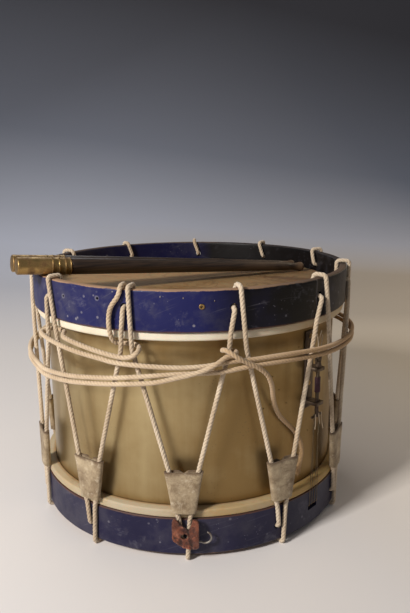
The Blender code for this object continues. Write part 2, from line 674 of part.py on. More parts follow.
def spare_route():
    """The route of the spare rope: over the rim, hitched round two pairs, twice round and knotted."""
    over = 1000 * (UPPER_RIM_Z + LEAN)
    inside = 1000 * (UPPER_BACK - LEAN)
    outside = 1000 * (UPPER_FACE + LEAN)
    start = [
        (-22.1, inside, 291.5), (-21.2, inside, 299.5), (-20.8, inside + 0.7, 303.8),
        (-20.5, inside + 3.4, over), (-20.3, inside + 7.6, over + 0.5), (-20.2, outside - 3.4, over),
        (-20.2, outside - 0.4, 303.8), (-20.4, outside + 0.5, 299.5), (-21.2, outside + 0.9, 294.0),
        (-22.4, outside + 1.2, 288.5), (-23.4, outside + 1.6, 281.5), (-23.9, outside + 1.6, 271.0),
        (-23.8, 203.9, 261.0), (-23.6, 201.8, 252.2), (-22.9, 197.8, 246.2), (-21.5, 193.6, 244.4),
        (-19.0, 191.6, 244.2), (-16.5, 193.4, 243.8), (-14.9, 200.2, 242.8), (-14.8, 206.6, 240.2),
        (-16.0, 209.6, 236.4), (-18.2, 209.4, 234.2),
    ]
    first_hitch = [
        (-20.9, 208.9, 234.1), (-26.7, 208.6, 236.8), (-34.2, 208.4, 241.0), (-40.6, 207.2, 244.2),
        (-43.6, 201.6, 245.0), (-46.0, 194.6, 245.0), (-49.0, 191.8, 244.8), (-52.2, 193.2, 244.4),
        (-54.4, 197.6, 243.8), (-55.3, 203.2, 242.8), (-54.2, 208.2, 241.6), (-51.4, 209.8, 240.0),
    ]
    first_turn = [
        (-46.8, 209.4, 237.4), (-40.5, 209.0, 234.6), (-34.2, 208.8, 232.2), (-26.8, 208.7, 229.8),
        (-20.8, 208.9, 227.2), (-11.0, 208.9, 226.4), (-2.4, 208.7, 225.8), (4.7, 208.5, 227.0),
        (9.5, 208.9, 229.8), (13.4, 209.0, 231.0), (17.9, 209.0, 230.6), (24.3, 208.7, 231.0),
        (31.4, 208.7, 230.4), (39.7, 208.8, 228.5), (48.6, 208.9, 226.6), (58.4, 209.0, 225.4),
        (69.9, 209.1, 224.4), (85.0, 209.3, 223.0),
    ]
    second_turn = [
        (-57.0, 208.8, 200.6), (-50.0, 208.7, 199.8), (-39.0, 208.5, 203.0), (-27.0, 208.5, 208.4),
        (-20.0, 208.4, 211.6), (-11.0, 208.4, 216.0), (-2.4, 208.4, 219.0), (4.7, 208.5, 219.8),
        (10.4, 208.8, 220.8), (17.9, 208.9, 223.8), (24.3, 208.8, 224.4), (31.4, 208.6, 223.8),
        (39.7, 208.7, 222.0), (48.6, 208.8, 220.0), (58.4, 208.9, 218.8), (69.9, 209.0, 217.8),
        (85.0, 209.2, 216.4),
    ]
    third_pass = [
        (-57.0, 208.8, 194.2), (-50.0, 208.7, 193.2), (-39.0, 208.5, 196.4), (-27.0, 208.4, 201.6),
        (-20.0, 208.5, 204.6), (-14.0, 209.4, 207.4), (-9.0, 212.4, 211.0), (-4.5, 214.9, 216.0),
        (0.3, 215.6, 220.6), (4.4, 215.8, 225.6), (7.6, 214.8, 231.4),
    ]
    knot = [
        (9.8, 211.8, 236.4), (11.8, 209.4, 238.8), (13.5, 205.8, 239.6), (14.2, 201.0, 239.2),
        (13.6, 196.8, 238.6), (11.7, 194.8, 238.6), (9.8, 196.4, 239.6), (8.6, 201.2, 241.4),
        (8.4, 207.2, 243.2), (9.2, 212.6, 243.8), (10.8, 216.0, 241.4), (12.9, 217.2, 236.6),
    ]
    tail = [
        (15.6, 216.4, 230.8), (18.8, 215.4, 224.4), (22.0, 212.8, 214.6), (24.0, 208.6, 203.6),
        (25.6, 203.0, 192.0), (27.0, 197.2, 180.0), (28.8, 192.8, 167.0), (31.2, 190.6, 154.0),
        (34.9, 190.0, 141.0), (38.3, 190.0, 129.5), (41.1, 190.0, 116.0), (42.2, 190.2, 103.0),
        (41.7, 190.6, 93.0), (40.7, 191.0, 83.5),
    ]
    turns = first_turn + round_back(first_turn[-1], second_turn[0]) + second_turn
    turns += round_back(second_turn[-1], third_pass[0]) + third_pass
    places = start + first_hitch + turns + knot + tail
    return [polar(angle, radius / 1000, height / 1000) for angle, radius, height in places]


def round_back(left_at, comes_to):
    """The places of a turn on the drum's far side, from one chosen place to the next."""
    start, end = np.array(left_at), np.array(comes_to) + np.array((360.0, 0.0, 0.0))
    return [tuple(start + (end - start) * step / BACK_STEPS) for step in range(1, BACK_STEPS)]


def add_spare_rope(shop):
    """The spare rope as one unbroken tube, with its least gap to itself printed."""
    route = thinned(smooth_route(spare_route(), 3), KEPT_TURN, KEPT_RUN)
    gap = least_gap(route, 2 * ROPE_RADIUS, 8 * ROPE_RADIUS)
    length = sum((b - a).length for a, b in zip(route, route[1:]))
    print(f"spare rope: {length:.3f} m long, least gap to itself {1000 * gap:.2f} mm")
    shop.keep(tube("spare_rope", route, ROPE_RADIUS, resolution=1), "rope")


# Snares

def rivet_heights():
    """The heights of the rivets that hold the strainer on the shell."""
    return [STRAINER_BASE_Z + share * STRAINER_HEIGHT for share in (0.32, 0.93)]


def add_strainer(shop):
    """The strainer's riveted plate, with a lug below and a guide lug above for the rod."""
    back = -STRAINER_PLATE / 2
    plate = box("strainer_bracket", (STRAINER_WIDTH, STRAINER_PLATE, STRAINER_HEIGHT),
                (0.0, back, STRAINER_HEIGHT / 2))
    frame = facing(SNARE_ANGLE, PLATE_RADIUS, STRAINER_BASE_Z)
    shop.keep(plate, "iron", frame)
    reach = ROD_REACH + 2 * ROD_RADIUS
    for name, height in (("lower_lug", LOWER_LUG_Z), ("upper_lug", UPPER_LUG_Z)):
        centre_z = height - STRAINER_BASE_Z + LUG_THICKNESS / 2
        lug = box(name, (STRAINER_WIDTH - 0.002, reach + STRAINER_PLATE / 2, LUG_THICKNESS),
                  (0.0, back - (reach + STRAINER_PLATE / 2) / 2, centre_z))
        combine(plate, shop.tool(lug, frame), "UNION")
    drill = cylinder("rod_drill", ROD_RADIUS + CLEARANCE, 2 * STRAINER_HEIGHT, 16)
    holes = [(drill, Matrix.Translation((0.0, -STRAINER_PLATE - ROD_REACH, STRAINER_HEIGHT / 2)))]
    rivet = cylinder("plate_drill", RIVET_RADIUS + CLEARANCE, 3 * STRAINER_PLATE, 8, "Y")
    for height in rivet_heights():
        holes.append((rivet, Matrix.Translation((0.0, back, height - STRAINER_BASE_Z))))
    combine(plate, shop.tool(joined("strainer_holes", holes), frame), "DIFFERENCE")


def add_rod(shop):
    """The threaded rod that pulls the gut up, with a crossbar at its foot."""
    rod = cylinder("strainer_rod", ROD_RADIUS, ROD_LENGTH, 12)
    rod.data.transform(Matrix.Translation((0.0, 0.0, ROD_LENGTH / 2)))
    frame = facing(SNARE_ANGLE, ROD_AXIS_RADIUS, ROD_FOOT_Z)
    shop.keep(rod, "iron", frame)
    bar = cylinder("crossbar", CROSSBAR_RADIUS, CROSSBAR_LENGTH, 10, "X")
    bar.data.transform(Matrix.Translation((0.0, 0.0, CROSSBAR_RADIUS)))
    combine(rod, shop.tool(bar, frame), "UNION")


def add_wing_nut(shop):
    """The wing nut that stands on the upper lug and lifts the rod."""
    frame = facing(SNARE_ANGLE, ROD_AXIS_RADIUS, UPPER_LUG_Z + LUG_THICKNESS + CLEARANCE)
    hub = cylinder("wing_nut", WING_HUB_RADIUS, WING_HUB_HEIGHT, 16)
    hub.data.transform(Matrix.Translation((0.0, 0.0, WING_HUB_HEIGHT / 2)))
    shop.keep(hub, "iron", frame)
    wings = box("wings", (2 * WING_REACH, WING_THICKNESS, WING_HUB_HEIGHT),
                (0.0, 0.0, WING_RISE + WING_HUB_HEIGHT / 2))
    bevel = wings.modifiers.new("round", "BEVEL")
    bevel.width = WING_THICKNESS / 3
    bevel.segments = 1
    combine(hub, shop.tool(wings, frame), "UNION")
    bore = cylinder("nut_bore", ROD_RADIUS + CLEARANCE, 6 * WING_HUB_HEIGHT, 16)
    combine(hub, shop.tool(bore, frame), "DIFFERENCE")


def add_rivets(shop):
    """The rivets through the strainer's plate and the shell, headed at both ends."""
    outer = PLATE_RADIUS + STRAINER_PLATE + CLEARANCE
    inner = (SHELL_RADIUS - SHELL_WALL) * FACET_SHARE - CLEARANCE
    grip = outer - inner
    profile = [
        (0.0, RIVET_HEAD_HEIGHT), (RIVET_HEAD_RADIUS * 0.6, RIVET_HEAD_HEIGHT * 0.8),
        (RIVET_HEAD_RADIUS, 0.0), (RIVET_RADIUS, 0.0), (RIVET_RADIUS, -grip),
        (RIVET_HEAD_RADIUS, -grip), (RIVET_HEAD_RADIUS * 0.6, -grip - RIVET_HEAD_HEIGHT * 0.8),
        (0.0, -grip - RIVET_HEAD_HEIGHT),
    ]
    for name, height in zip(("strainer_rivet_lower", "strainer_rivet_upper"), rivet_heights()):
        rivet = turned(name, profile, 8, closed=False)
        frame = facing(SNARE_ANGLE, outer, height) @ Matrix.Rotation(math.radians(90), 4, "X")
        shop.keep(rivet, "aged_brass", frame)


def gut_hook(near, far):
    """The gut's way over the rod's crossbar, from one strand to the next."""
    reach = (CROSSBAR_RADIUS + GUT_RADIUS + CLEARANCE) / math.cos(math.radians(22.5))
    height = ROD_FOOT_Z + CROSSBAR_RADIUS
    places = []
    for direction, across in ((0, near), (45, near), (90, (near + far) / 2), (135, far), (180, far)):
        a = math.radians(direction)
        places.append((ROD_AXIS_RADIUS + reach * math.cos(a), across, height + reach * math.sin(a)))
    return places


def gut_end(across):
    """A strand's far end, gripped under the flesh hoop, and its way down and under the head."""
    lean = GUT_RADIUS + CLEARANCE
    skirt = (SKIRT_RADIUS + SKIN / 2) * FACET_SHARE
    places = [(skirt + lean, LOWER_EDGE_Z - GUT_RADIUS)] + list(bend(skirt, SNARE_Z, 0, -90, lean))
    return [(-reach, across, height) for reach, height in places]


def gut_side(across):
    """A strand's way from under the head through the gate and up the counterhoop's face."""
    lean = GUT_RADIUS + CLEARANCE
    places = [(LOWER_BACK, SNARE_Z - lean), *bend(LOWER_FACE, SNARE_Z, -90, 0, lean)]
    places.append((LOWER_FACE + lean, LOWER_EDGE_Z + LAPPED_HEIGHT))
    return [(reach, across, height) for reach, height in places]


def gut_places():
    """The gut line's places as (along the snares, across them, height)."""
    across = [(index - (GUT_STRANDS - 1) / 2) * GUT_PITCH for index in range(GUT_STRANDS)]
    places = []
    for near, far in zip(across[::2], across[1::2]):
        places += gut_end(near) + gut_side(near) + gut_hook(near, far)
        places += gut_side(far)[::-1] + gut_end(far)[::-1]
    return places


def add_gut(shop):
    """The snares: one gut line laid in four strands across the lower head."""
    turn = Matrix.Rotation(math.radians(SNARE_ANGLE - 90.0), 4, "Z")
    route = [turn @ Vector(place) for place in gut_places()]
    shop.keep(tube("snare_gut", route, GUT_RADIUS, resolution=1), "gut")


# Belt tab and hook

def add_tab(shop):
    """The red leather tab, folded back to the hoop on both sides of the two strands."""
    frame = facing(HOLE_PHASE - CELL_ANGLE / 2, LOWER_RADIUS, LOWER_EDGE_Z)
    face = LEAN + ROPE_RADIUS + CLEARANCE
    tab = slab("belt_tab", TAB_OUTLINE, -face, -face - TAB_LEATHER)
    shop.keep(tab, "red_leather", frame)
    depth = face + TAB_LEATHER / 2 - CLEARANCE
    for side, foot in TAB_FLANGES:
        inward = side - math.copysign(TAB_LEATHER / 2, side)
        height = TAB_FLANGE_TOP - foot
        place = (inward, -CLEARANCE - depth / 2, foot + height / 2)
        flange = box("tab_flange", (TAB_LEATHER, depth, height), place)
        combine(tab, shop.tool(flange, frame), "UNION")
    window = cylinder("tab_hole", TAB_HOLE_RADIUS, 3 * TAB_LEATHER, 10, "Y")
    eye = cylinder("hook_hole", HOOK_WIRE_RADIUS + CLEARANCE, 3 * TAB_LEATHER, 8, "X")
    cuts = [
        (window, Matrix.Translation((0.0, -face - TAB_LEATHER / 2, -TAB_HOLE_DROP))),
        (eye, Matrix.Translation((TAB_RIGHT - TAB_LEATHER / 2, -hook_depth(), -HOOK_DROP))),
    ]
    combine(tab, shop.tool(joined("tab_cuts", cuts), frame), "DIFFERENCE")


def hook_depth():
    """How far the hook's shank lies in front of the lower counterhoop."""
    return LEAN + HOOK_WIRE_RADIUS / 2


def add_hook(shop):
    """The open hook that swings on its shank in the tab's side."""
    angle = HOLE_PHASE - CELL_ANGLE / 2
    inside = TAB_RIGHT - TAB_LEATHER - 2 * HOOK_WIRE_RADIUS
    centre_x = TAB_RIGHT + HOOK_REACH
    points = [(inside, 0.0, 0.0)]
    for step in range(11):
        a = math.radians(-130.0 + step * 20.0)
        points.append((centre_x + HOOK_CURL_RADIUS * math.cos(a), 0.0,
                       HOOK_CURL_RADIUS * (0.77 + math.sin(a))))
    hook = tube("belt_hook", [Vector(point) for point in points], HOOK_WIRE_RADIUS)
    shop.keep(hook, "steel", facing(angle, LOWER_RADIUS + hook_depth(), LOWER_EDGE_Z - HOOK_DROP))


# Drumsticks

def rim_crossing(point, direction, radius):
    """How far along a plan line it leaves a circle about the drum's axis, going backwards."""
    along = point.dot(direction)
    return -along - math.sqrt(along ** 2 - point.length_squared + radius ** 2)


def stick_frame(index):
    """A stick's frame, its butt at the origin and its tip along +Z, resting on the rim and the head."""
    start, tip = Vector(STICK_REST), Vector(STICK_TIP_PLACE)
    along = (tip - start).normalized()
    aside = Vector((-along.y, along.x))
    shift = aside * index * (2 * (FERRULE_RADIUS + FERRULE_BEAD) + STICK_GAP)
    start, tip = start + shift, tip + shift
    rest = start + along * rim_crossing(start, along, UPPER_RADIUS - HOOP_WALL + HOOP_EDGE)
    run = (tip - rest).length
    drop = HEAD_RECESS + FERRULE_RADIUS + FERRULE_BEAD - STICK_TIP_RADIUS
    tilt = math.atan2(drop, run)
    rest_z = UPPER_RIM_Z + (FERRULE_RADIUS + FERRULE_BEAD + CLEARANCE) / math.cos(tilt)
    direction = Vector((along.x * math.cos(tilt), along.y * math.cos(tilt), -math.sin(tilt)))
    butt = Vector((*rest, rest_z)) - direction * STICK_OVERHANG
    length = STICK_OVERHANG + run / math.cos(tilt) + STICK_TIP_RADIUS
    turn = direction.to_track_quat("Z", "Y").to_matrix().to_4x4()
    return Matrix.Translation(butt) @ turn, length


def shaft_profile(length):
    """The dark wood shaft: a spigot in the ferrule, a long taper, a neck and an acorn tip."""
    spigot = FERRULE_RADIUS - FERRULE_WALL - CLEARANCE
    shoulder = FERRULE_RADIUS - FERRULE_WALL / 3
    neck = length - STICK_TIP_LENGTH
    lip = FERRULE_LENGTH + CLEARANCE
    return [
        (0.0, length), (STICK_TIP_RADIUS * 0.62, length - 0.0012), (STICK_TIP_RADIUS, length - 0.0052),
        (STICK_TIP_RADIUS * 0.92, length - 0.0088), (STICK_NECK_RADIUS, neck),
        (STICK_NECK_RADIUS + 0.0012, neck - 0.03), (FERRULE_RADIUS * 0.78, length * 0.55),
        (shoulder, lip + 0.02), (shoulder, lip), (spigot, lip),
        (spigot, FERRULE_WALL + CLEARANCE), (0.0, FERRULE_WALL + CLEARANCE),
    ]


def ferrule_profile():
    """The brass ferrule: a cup with a beaded butt and three rings by its mouth."""
    bore = FERRULE_RADIUS - FERRULE_WALL
    bead = FERRULE_RADIUS + FERRULE_BEAD
    profile = [(0.0, FERRULE_WALL), (bore, FERRULE_WALL), (bore, FERRULE_LENGTH)]
    for back in (0.0, 0.006, 0.012):
        top = FERRULE_LENGTH - back
        profile += [(FERRULE_RADIUS, top), (bead, top - 0.0007), (FERRULE_RADIUS, top - 0.0014)]
    profile += [
        (FERRULE_RADIUS, 0.013), (bead, 0.012), (FERRULE_RADIUS, 0.011),
        (FERRULE_RADIUS, 0.0015), (FERRULE_RADIUS - 0.0012, 0.0), (0.0, 0.0),
    ]
    return profile


def add_sticks(shop):
    """The pair of sticks that lies across the top."""
    for index, name in enumerate(("front_stick", "rear_stick")):
        frame, length = stick_frame(index)
        shaft = turned(f"{name}_shaft", shaft_profile(length), 16, closed=False)
        shop.keep(shaft, "dark_wood", frame)
        ferrule = turned(f"{name}_ferrule", ferrule_profile(), 16, closed=False)
        shop.keep(ferrule, "aged_brass", frame)


def main():
    """Builds the drum from the shell outwards."""
    clear_scene()
    shop = Workshop()
    add_shell(shop)
    add_head(shop, "batter_head", BATTER_Z, UPPER_EDGE_Z, 1)
    add_head(shop, "snare_head", SNARE_Z, LOWER_EDGE_Z, -1)
    add_flesh_hoop(shop, "upper_flesh_hoop", UPPER_EDGE_Z, 1)
    add_flesh_hoop(shop, "lower_flesh_hoop", LOWER_EDGE_Z, -1)
    add_hoops(shop)
    add_eyelet(shop)
    add_lacing(shop)
    add_ears(shop)
    add_spare_rope(shop)
    add_strainer(shop)
    add_rod(shop)
    add_wing_nut(shop)
    add_rivets(shop)
    add_gut(shop)
    add_tab(shop)
    add_hook(shop)
    add_sticks(shop)


main()
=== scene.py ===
"""Looks of a rope-tension marching drum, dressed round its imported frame.

Lengths are metres, +Z is up and the front faces -Y. A place on the drum is polar: an angle in
degrees, 0 at the front and growing towards +X, a radius from the drum's axis and a height.
"""

import logging
import math
import random
from collections.abc import Callable, Sequence
from dataclasses import dataclass, field
from enum import Enum

import bmesh
import bpy
from mathutils import Matrix, Vector, noise


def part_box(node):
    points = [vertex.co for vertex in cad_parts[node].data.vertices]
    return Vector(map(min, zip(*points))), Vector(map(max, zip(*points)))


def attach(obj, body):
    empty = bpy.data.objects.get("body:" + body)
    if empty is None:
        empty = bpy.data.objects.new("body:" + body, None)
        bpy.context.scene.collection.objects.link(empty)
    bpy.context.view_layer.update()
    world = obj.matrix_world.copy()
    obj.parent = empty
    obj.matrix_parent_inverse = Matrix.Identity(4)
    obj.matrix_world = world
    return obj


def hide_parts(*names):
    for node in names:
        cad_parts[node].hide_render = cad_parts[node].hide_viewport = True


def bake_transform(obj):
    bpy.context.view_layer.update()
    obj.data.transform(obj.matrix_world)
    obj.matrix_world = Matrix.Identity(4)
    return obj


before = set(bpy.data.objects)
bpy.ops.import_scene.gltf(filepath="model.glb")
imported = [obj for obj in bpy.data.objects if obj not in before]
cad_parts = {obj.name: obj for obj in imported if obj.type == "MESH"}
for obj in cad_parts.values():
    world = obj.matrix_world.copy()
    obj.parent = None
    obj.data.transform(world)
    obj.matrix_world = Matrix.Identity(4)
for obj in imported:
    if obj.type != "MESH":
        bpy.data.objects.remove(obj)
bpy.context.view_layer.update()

log = logging.getLogger("marching_drum")

Colour = tuple[float, float, float]
Spot = tuple[float, float, float]
Point = tuple[float, float]
Mesh = bmesh.types.BMesh
Material = bpy.types.Material


# Sizes and places on the drum

class End(Enum):
    """The two ends of the drum; the value is the way that the end faces."""

    BATTER = 1
    SNARE = -1


@dataclass(frozen=True)
class DrumSizes:
    """The drum's main sizes, with its heights read from the frame.

    The old holes and the eyelet's hole are each an angle, a height and a radius.
    """

    axis: Spot = (0.0008, 0.0003, 0.0)
    holes: int = 11
    phase: float = 14.2
    shell: float = 0.185
    wall: float = 0.0012
    upper_face: float = 0.1995
    lower_face: float = 0.1970
    hoop_wall: float = 0.0095
    hoop_height: float = 0.044
    hoop_edge: float = 0.0022
    skin: float = 0.0008
    skirt: float = 0.1857
    lap: float = 0.1961
    lap_height: float = 0.0095
    rope: float = 0.00275
    gap: float = 0.0003
    hole_depth: float = 0.0185
    hole: float = 0.004
    strand: float = 0.0032
    upper_seam: float = 44.2
    lower_seam: float = 133.0
    old_holes: tuple[Spot, ...] = ((-28.5, 0.2915, 0.0016), (-43.2, 0.2880, 0.0014))
    eyelet: Spot = (3.8, 0.2870, 0.0022)
    upper_rim: float = field(default_factory=lambda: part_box("upper_counterhoop")[1].z)
    lower_rim: float = field(default_factory=lambda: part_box("lower_counterhoop")[0].z)
    batter: float = field(default_factory=lambda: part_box("batter_head")[1].z)
    snare: float = field(default_factory=lambda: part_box("snare_head")[0].z)

    @property
    def cell(self) -> float:
        """The angle from one lacing hole to the next."""
        return 360.0 / self.holes

    @property
    def lean(self) -> float:
        """How far a rope's middle lies from what it leans on."""
        return self.rope + self.gap

    @property
    def upper_edge(self) -> float:
        """The height of the upper counterhoop's lower edge."""
        return self.upper_rim - self.hoop_height

    @property
    def lower_edge(self) -> float:
        """The height of the lower counterhoop's upper edge."""
        return self.lower_rim + self.hoop_height


SIZES = DrumSizes()

# Turns a shape that is made along Z so that it points out of the drum.
OUTWARDS = Matrix.Rotation(math.radians(90), 4, "X")
UP = Vector((0.0, 0.0, 1.0))

# How near the flats of the frame's 44-sided rings come to the axis, as a share of their radius.
FLAT_SHARE = math.cos(math.radians(180.0 / 44))

# A rope turns a square corner in two places, each this many degrees from one of the corner's ends.
HALF_CORNER = 22.5


def polar(angle: float, radius: float, height: float) -> Vector:
    """The point at an angle, radius and height round the drum's axis."""
    turn = math.radians(angle)
    return Vector((radius * math.sin(turn), -radius * math.cos(turn), height))


def facing(angle: float, radius: float, height: float) -> Matrix:
    """A frame on the drum: X along the hoop, -Y outwards and Z up."""
    return Matrix.Translation(polar(angle, radius, height)) @ Matrix.Rotation(math.radians(angle), 4, "Z")


def moved(bm: Mesh, place: Matrix) -> None:
    """Moves a whole mesh to a place."""
    bmesh.ops.transform(bm, matrix=place, verts=bm.verts)


def level_out(spot: Vector) -> Vector:
    """A place's level vector from the drum's axis."""
    return Vector((spot.x, spot.y, 0.0))


def degrees_for(length: float, radius: float) -> float:
    """The angle that a length covers at a radius."""
    return math.degrees(length / radius)


def arc(centre: Point, radius: float, start: float, end: float, steps: int) -> list[Point]:
    """Points along a round corner of an outline.

    Args:
        centre: The corner's centre.
        radius: Its radius.
        start: The direction of its first point from the centre, in degrees.
        end: The direction of its last point.
        steps: The number of stretches between its points.

    Returns:
        The points, both ends included.
    """
    turns = [math.radians(start + (end - start) * step / steps) for step in range(steps + 1)]
    return [(centre[0] + radius * math.cos(turn), centre[1] + radius * math.sin(turn)) for turn in turns]


def between(start: Point, end: Point, steps: int) -> list[Point]:
    """The inner points of a straight stretch that is cut into equal steps."""
    return [(start[0] + (end[0] - start[0]) * step / steps, start[1] + (end[1] - start[1]) * step / steps)
            for step in range(1, steps)]


def smooth_route(points: Sequence[Sequence[float]], steps: int) -> list[Vector]:
    """Points on a smooth curve through the given ones, that many to a stretch.

    Args:
        points: The places that it goes through.
        steps: The number of points for each stretch.

    Returns:
        The points, both ends included.
    """
    knots = [Vector(point) for point in points]
    ends = [2 * knots[0] - knots[1], *knots, 2 * knots[-1] - knots[-2]]
    route = []
    for before, start, end, after in zip(ends, ends[1:], ends[2:], ends[3:]):
        for step in range(steps):
            t = step / steps
            route.append(0.5 * (
                2 * start + (end - before) * t
                + (2 * before - 5 * start + 4 * end - after) * t ** 2
                + (3 * start - 3 * end + after - before) * t ** 3
            ))
    route.append(knots[-1])
    return route


def evenly(route: Sequence[Vector], step: float) -> list[Vector]:
    """The same route with points an even step apart, both ends kept.

    Args:
        route: The points of the route.
        step: The wanted distance between points.

    Returns:
        The new points.
    """
    lengths = [(b - a).length for a, b in zip(route, route[1:])]
    total = sum(lengths)
    count = max(2, round(total / step))
    places, walked, index = [], 0.0, 0
    for number in range(count):
        wanted = total * number / count
        while walked + lengths[index] < wanted:
            walked += lengths[index]
            index += 1
        places.append(route[index].lerp(route[index + 1], (wanted - walked) / lengths[index]))
    return places + [route[-1].copy()]


def relaxed(route: Sequence[Vector], rounds: int) -> list[Vector]:
    """The route with its corners eased, its ends where they were.

    Args:
        route: The points of the route.
        rounds: How often the corners are eased.

    Returns:
        The eased points.
    """
    line = [point.copy() for point in route]
    for _ in range(rounds):
        inner = [(a + 2 * b + c) / 4 for a, b, c in zip(line, line[1:], line[2:])]
        line = [line[0], *inner, line[-1]]
    return line


# Materials

class Value:
    """A socket of a material's nodes, with arithmetic that adds Math nodes."""

    def __init__(self, recipe: "Recipe", socket: bpy.types.NodeSocket) -> None:
        """Wraps a socket of a recipe's node tree."""
        self.recipe = recipe
        self.socket = socket

    def _math(self, operation: str, first: "Value | float", second: "Value | float") -> "Value":
        """Adds a Math node."""
        return self.recipe.node("ShaderNodeMath", {"operation": operation}, {0: first, 1: second})

    def __add__(self, other: "Value | float") -> "Value":
        """The sum."""
        return self._math("ADD", self, other)

    __radd__ = __add__

    def __sub__(self, other: "Value | float") -> "Value":
        """The difference."""
        return self._math("SUBTRACT", self, other)

    def __rsub__(self, other: "Value | float") -> "Value":
        """The difference from a number."""
        return self._math("SUBTRACT", other, self)

    def __mul__(self, other: "Value | float") -> "Value":
        """The product."""
        return self._math("MULTIPLY", self, other)

    __rmul__ = __mul__

    def __abs__(self) -> "Value":
        """The size without its sign."""
        return self._math("ABSOLUTE", self, 0.0)

    def root(self) -> "Value":
        """The square root."""
        return self._math("SQRT", self, 0.0)

    def cosine(self) -> "Value":
        """The cosine of an angle in radians."""
        return self._math("COSINE", self, 0.0)

    def over(self, low: float, high: float) -> "Value":
        """0 below low, 1 above high and even between them; low may be the greater."""
        return self.recipe.node("ShaderNodeMapRange", {}, {0: self, 1: low, 2: high})


class Recipe:
    """A material in the making: its nodes, its coordinates and its shader."""

    def __init__(self, name: str) -> None:
        """Starts a material on object coordinates."""
        self.material = bpy.data.materials.new(name)
        self.material.use_nodes = True
        self.tree = self.material.node_tree
        self.shader = self.tree.nodes["Principled BSDF"]
        self.place = self.node("ShaderNodeTexCoord", output="Object")

    def node(self, kind: str, settings: dict | None = None, sockets: dict | None = None,
             output: int | str = 0) -> Value:
        """Adds a node.

        Args:
            kind: The node's type.
            settings: Its own settings; stops are a colour ramp's (place, colour) pairs.
            sockets: What goes into its sockets, by name or number.
            output: The output that is wanted.

        Returns:
            The output, ready for arithmetic.
        """
        node = self.tree.nodes.new(kind)
        for name, value in (settings or {}).items():
            if name == "stops":
                self._fill_ramp(node.color_ramp, value)
            else:
                setattr(node, name, value)
        for key, value in (sockets or {}).items():
            self.feed(node.inputs[key], value)
        return Value(self, node.outputs[output])

    @staticmethod
    def _fill_ramp(ramp: bpy.types.ColorRamp, stops: Sequence[tuple[float, Colour]]) -> None:
        """Gives a colour ramp its stops.

        Args:
            ramp: The ramp.
            stops: Its stops, as places and colours.
        """
        while len(ramp.elements) < len(stops):
            ramp.elements.new(0.5)
        for element, (place, colour) in zip(ramp.elements, stops):
            element.position = place
            element.color = (*colour, 1.0)

    def feed(self, socket: bpy.types.NodeSocket, value: "Value | float | Sequence[float]") -> None:
        """Links or sets a socket; a colour of three numbers gets its alpha.

        Args:
            socket: The socket.
            value: A value to link, or a number or colour to set.
        """
        if isinstance(value, Value):
            self.tree.links.new(value.socket, socket)
        elif socket.type == "RGBA" and not isinstance(value, float):
            socket.default_value = (*value[:3], 1.0)
        else:
            socket.default_value = value

    def stretched(self, scale: Sequence[float], spot: Value | None = None,
                  turn: Sequence[float] = (0.0, 0.0, 0.0)) -> Value:
        """Coordinates turned and then scaled along each axis."""
        turned = self.node("ShaderNodeMapping", {}, {"Vector": spot or self.place, "Rotation": turn})
        return self.node("ShaderNodeMapping", {}, {"Vector": turned, "Scale": scale})

    def axis(self, name: str, spot: Value | None = None) -> Value:
        """One of a place's X, Y and Z."""
        return self.node("ShaderNodeSeparateXYZ", {}, {0: spot or self.place}, name)

    def span(self) -> Value:
        """The distance from the drum's axis."""
        east, north = self.axis("X"), self.axis("Y")
        return (east * east + north * north).root()

    def own_map(self) -> Value:
        """The piece's own UV: the turns round a rope and the length along it."""
        return self.node("ShaderNodeTexCoord", output="UV")

    def noise(self, scale: float, spot: Value | None = None, detail: float = 3.0,
              roughness: float = 0.55, distortion: float = 0.0) -> Value:
        """A noise texture's grey."""
        return self.node("ShaderNodeTexNoise", {}, {
            "Vector": spot or self.place, "Scale": scale, "Detail": detail,
            "Roughness": roughness, "Distortion": distortion,
        })

    def cells(self, scale: float) -> Value:
        """The distance from scattered points."""
        return self.node("ShaderNodeTexVoronoi", {}, {"Vector": self.place, "Scale": scale}, "Distance")

    def distance(self, spot: Vector) -> Value:
        """The distance from a spot."""
        return self.node("ShaderNodeVectorMath", {"operation": "DISTANCE"}, {0: self.place, 1: spot}, "Value")

    def ramp(self, value: Value, *stops: tuple[float, Colour]) -> Value:
        """Colours along a value."""
        return self.node("ShaderNodeValToRGB", {"stops": stops}, {0: value})

    def mix(self, share: Value | float, first: Value | Colour, second: Value | Colour,
            mode: str = "MIX") -> Value:
        """Two colours mixed by a share of the second."""
        settings = {"data_type": "RGBA", "blend_type": mode}
        return self.node("ShaderNodeMix", settings, {0: share, 6: first, 7: second}, 2)

    def dress(self, colour: Value | Colour, roughness: Value | float, metallic: Value | float = 0.0,
              relief: Value | None = None, depth: float = 0.0001, **fixed: float) -> Material:
        """Finishes the material.

        Args:
            colour: Its base colour.
            roughness: Its roughness.
            metallic: Its metallic share.
            relief: The height of its relief, from 0 to 1.
            depth: How deep the relief is, in metres.
            **fixed: Other sockets of the shader, with _ for each space.

        Returns:
            The material.
        """
        self.feed(self.shader.inputs["Base Color"], colour)
        self.feed(self.shader.inputs["Roughness"], roughness)
        self.feed(self.shader.inputs["Metallic"], metallic)
        if relief is not None:
            bump = self.node("ShaderNodeBump", {}, {"Distance": depth, "Height": relief}, "Normal")
            self.feed(self.shader.inputs["Normal"], bump)
        for name, value in fixed.items():
            self.shader.inputs[name.replace("_", " ")].default_value = value
        return self.material


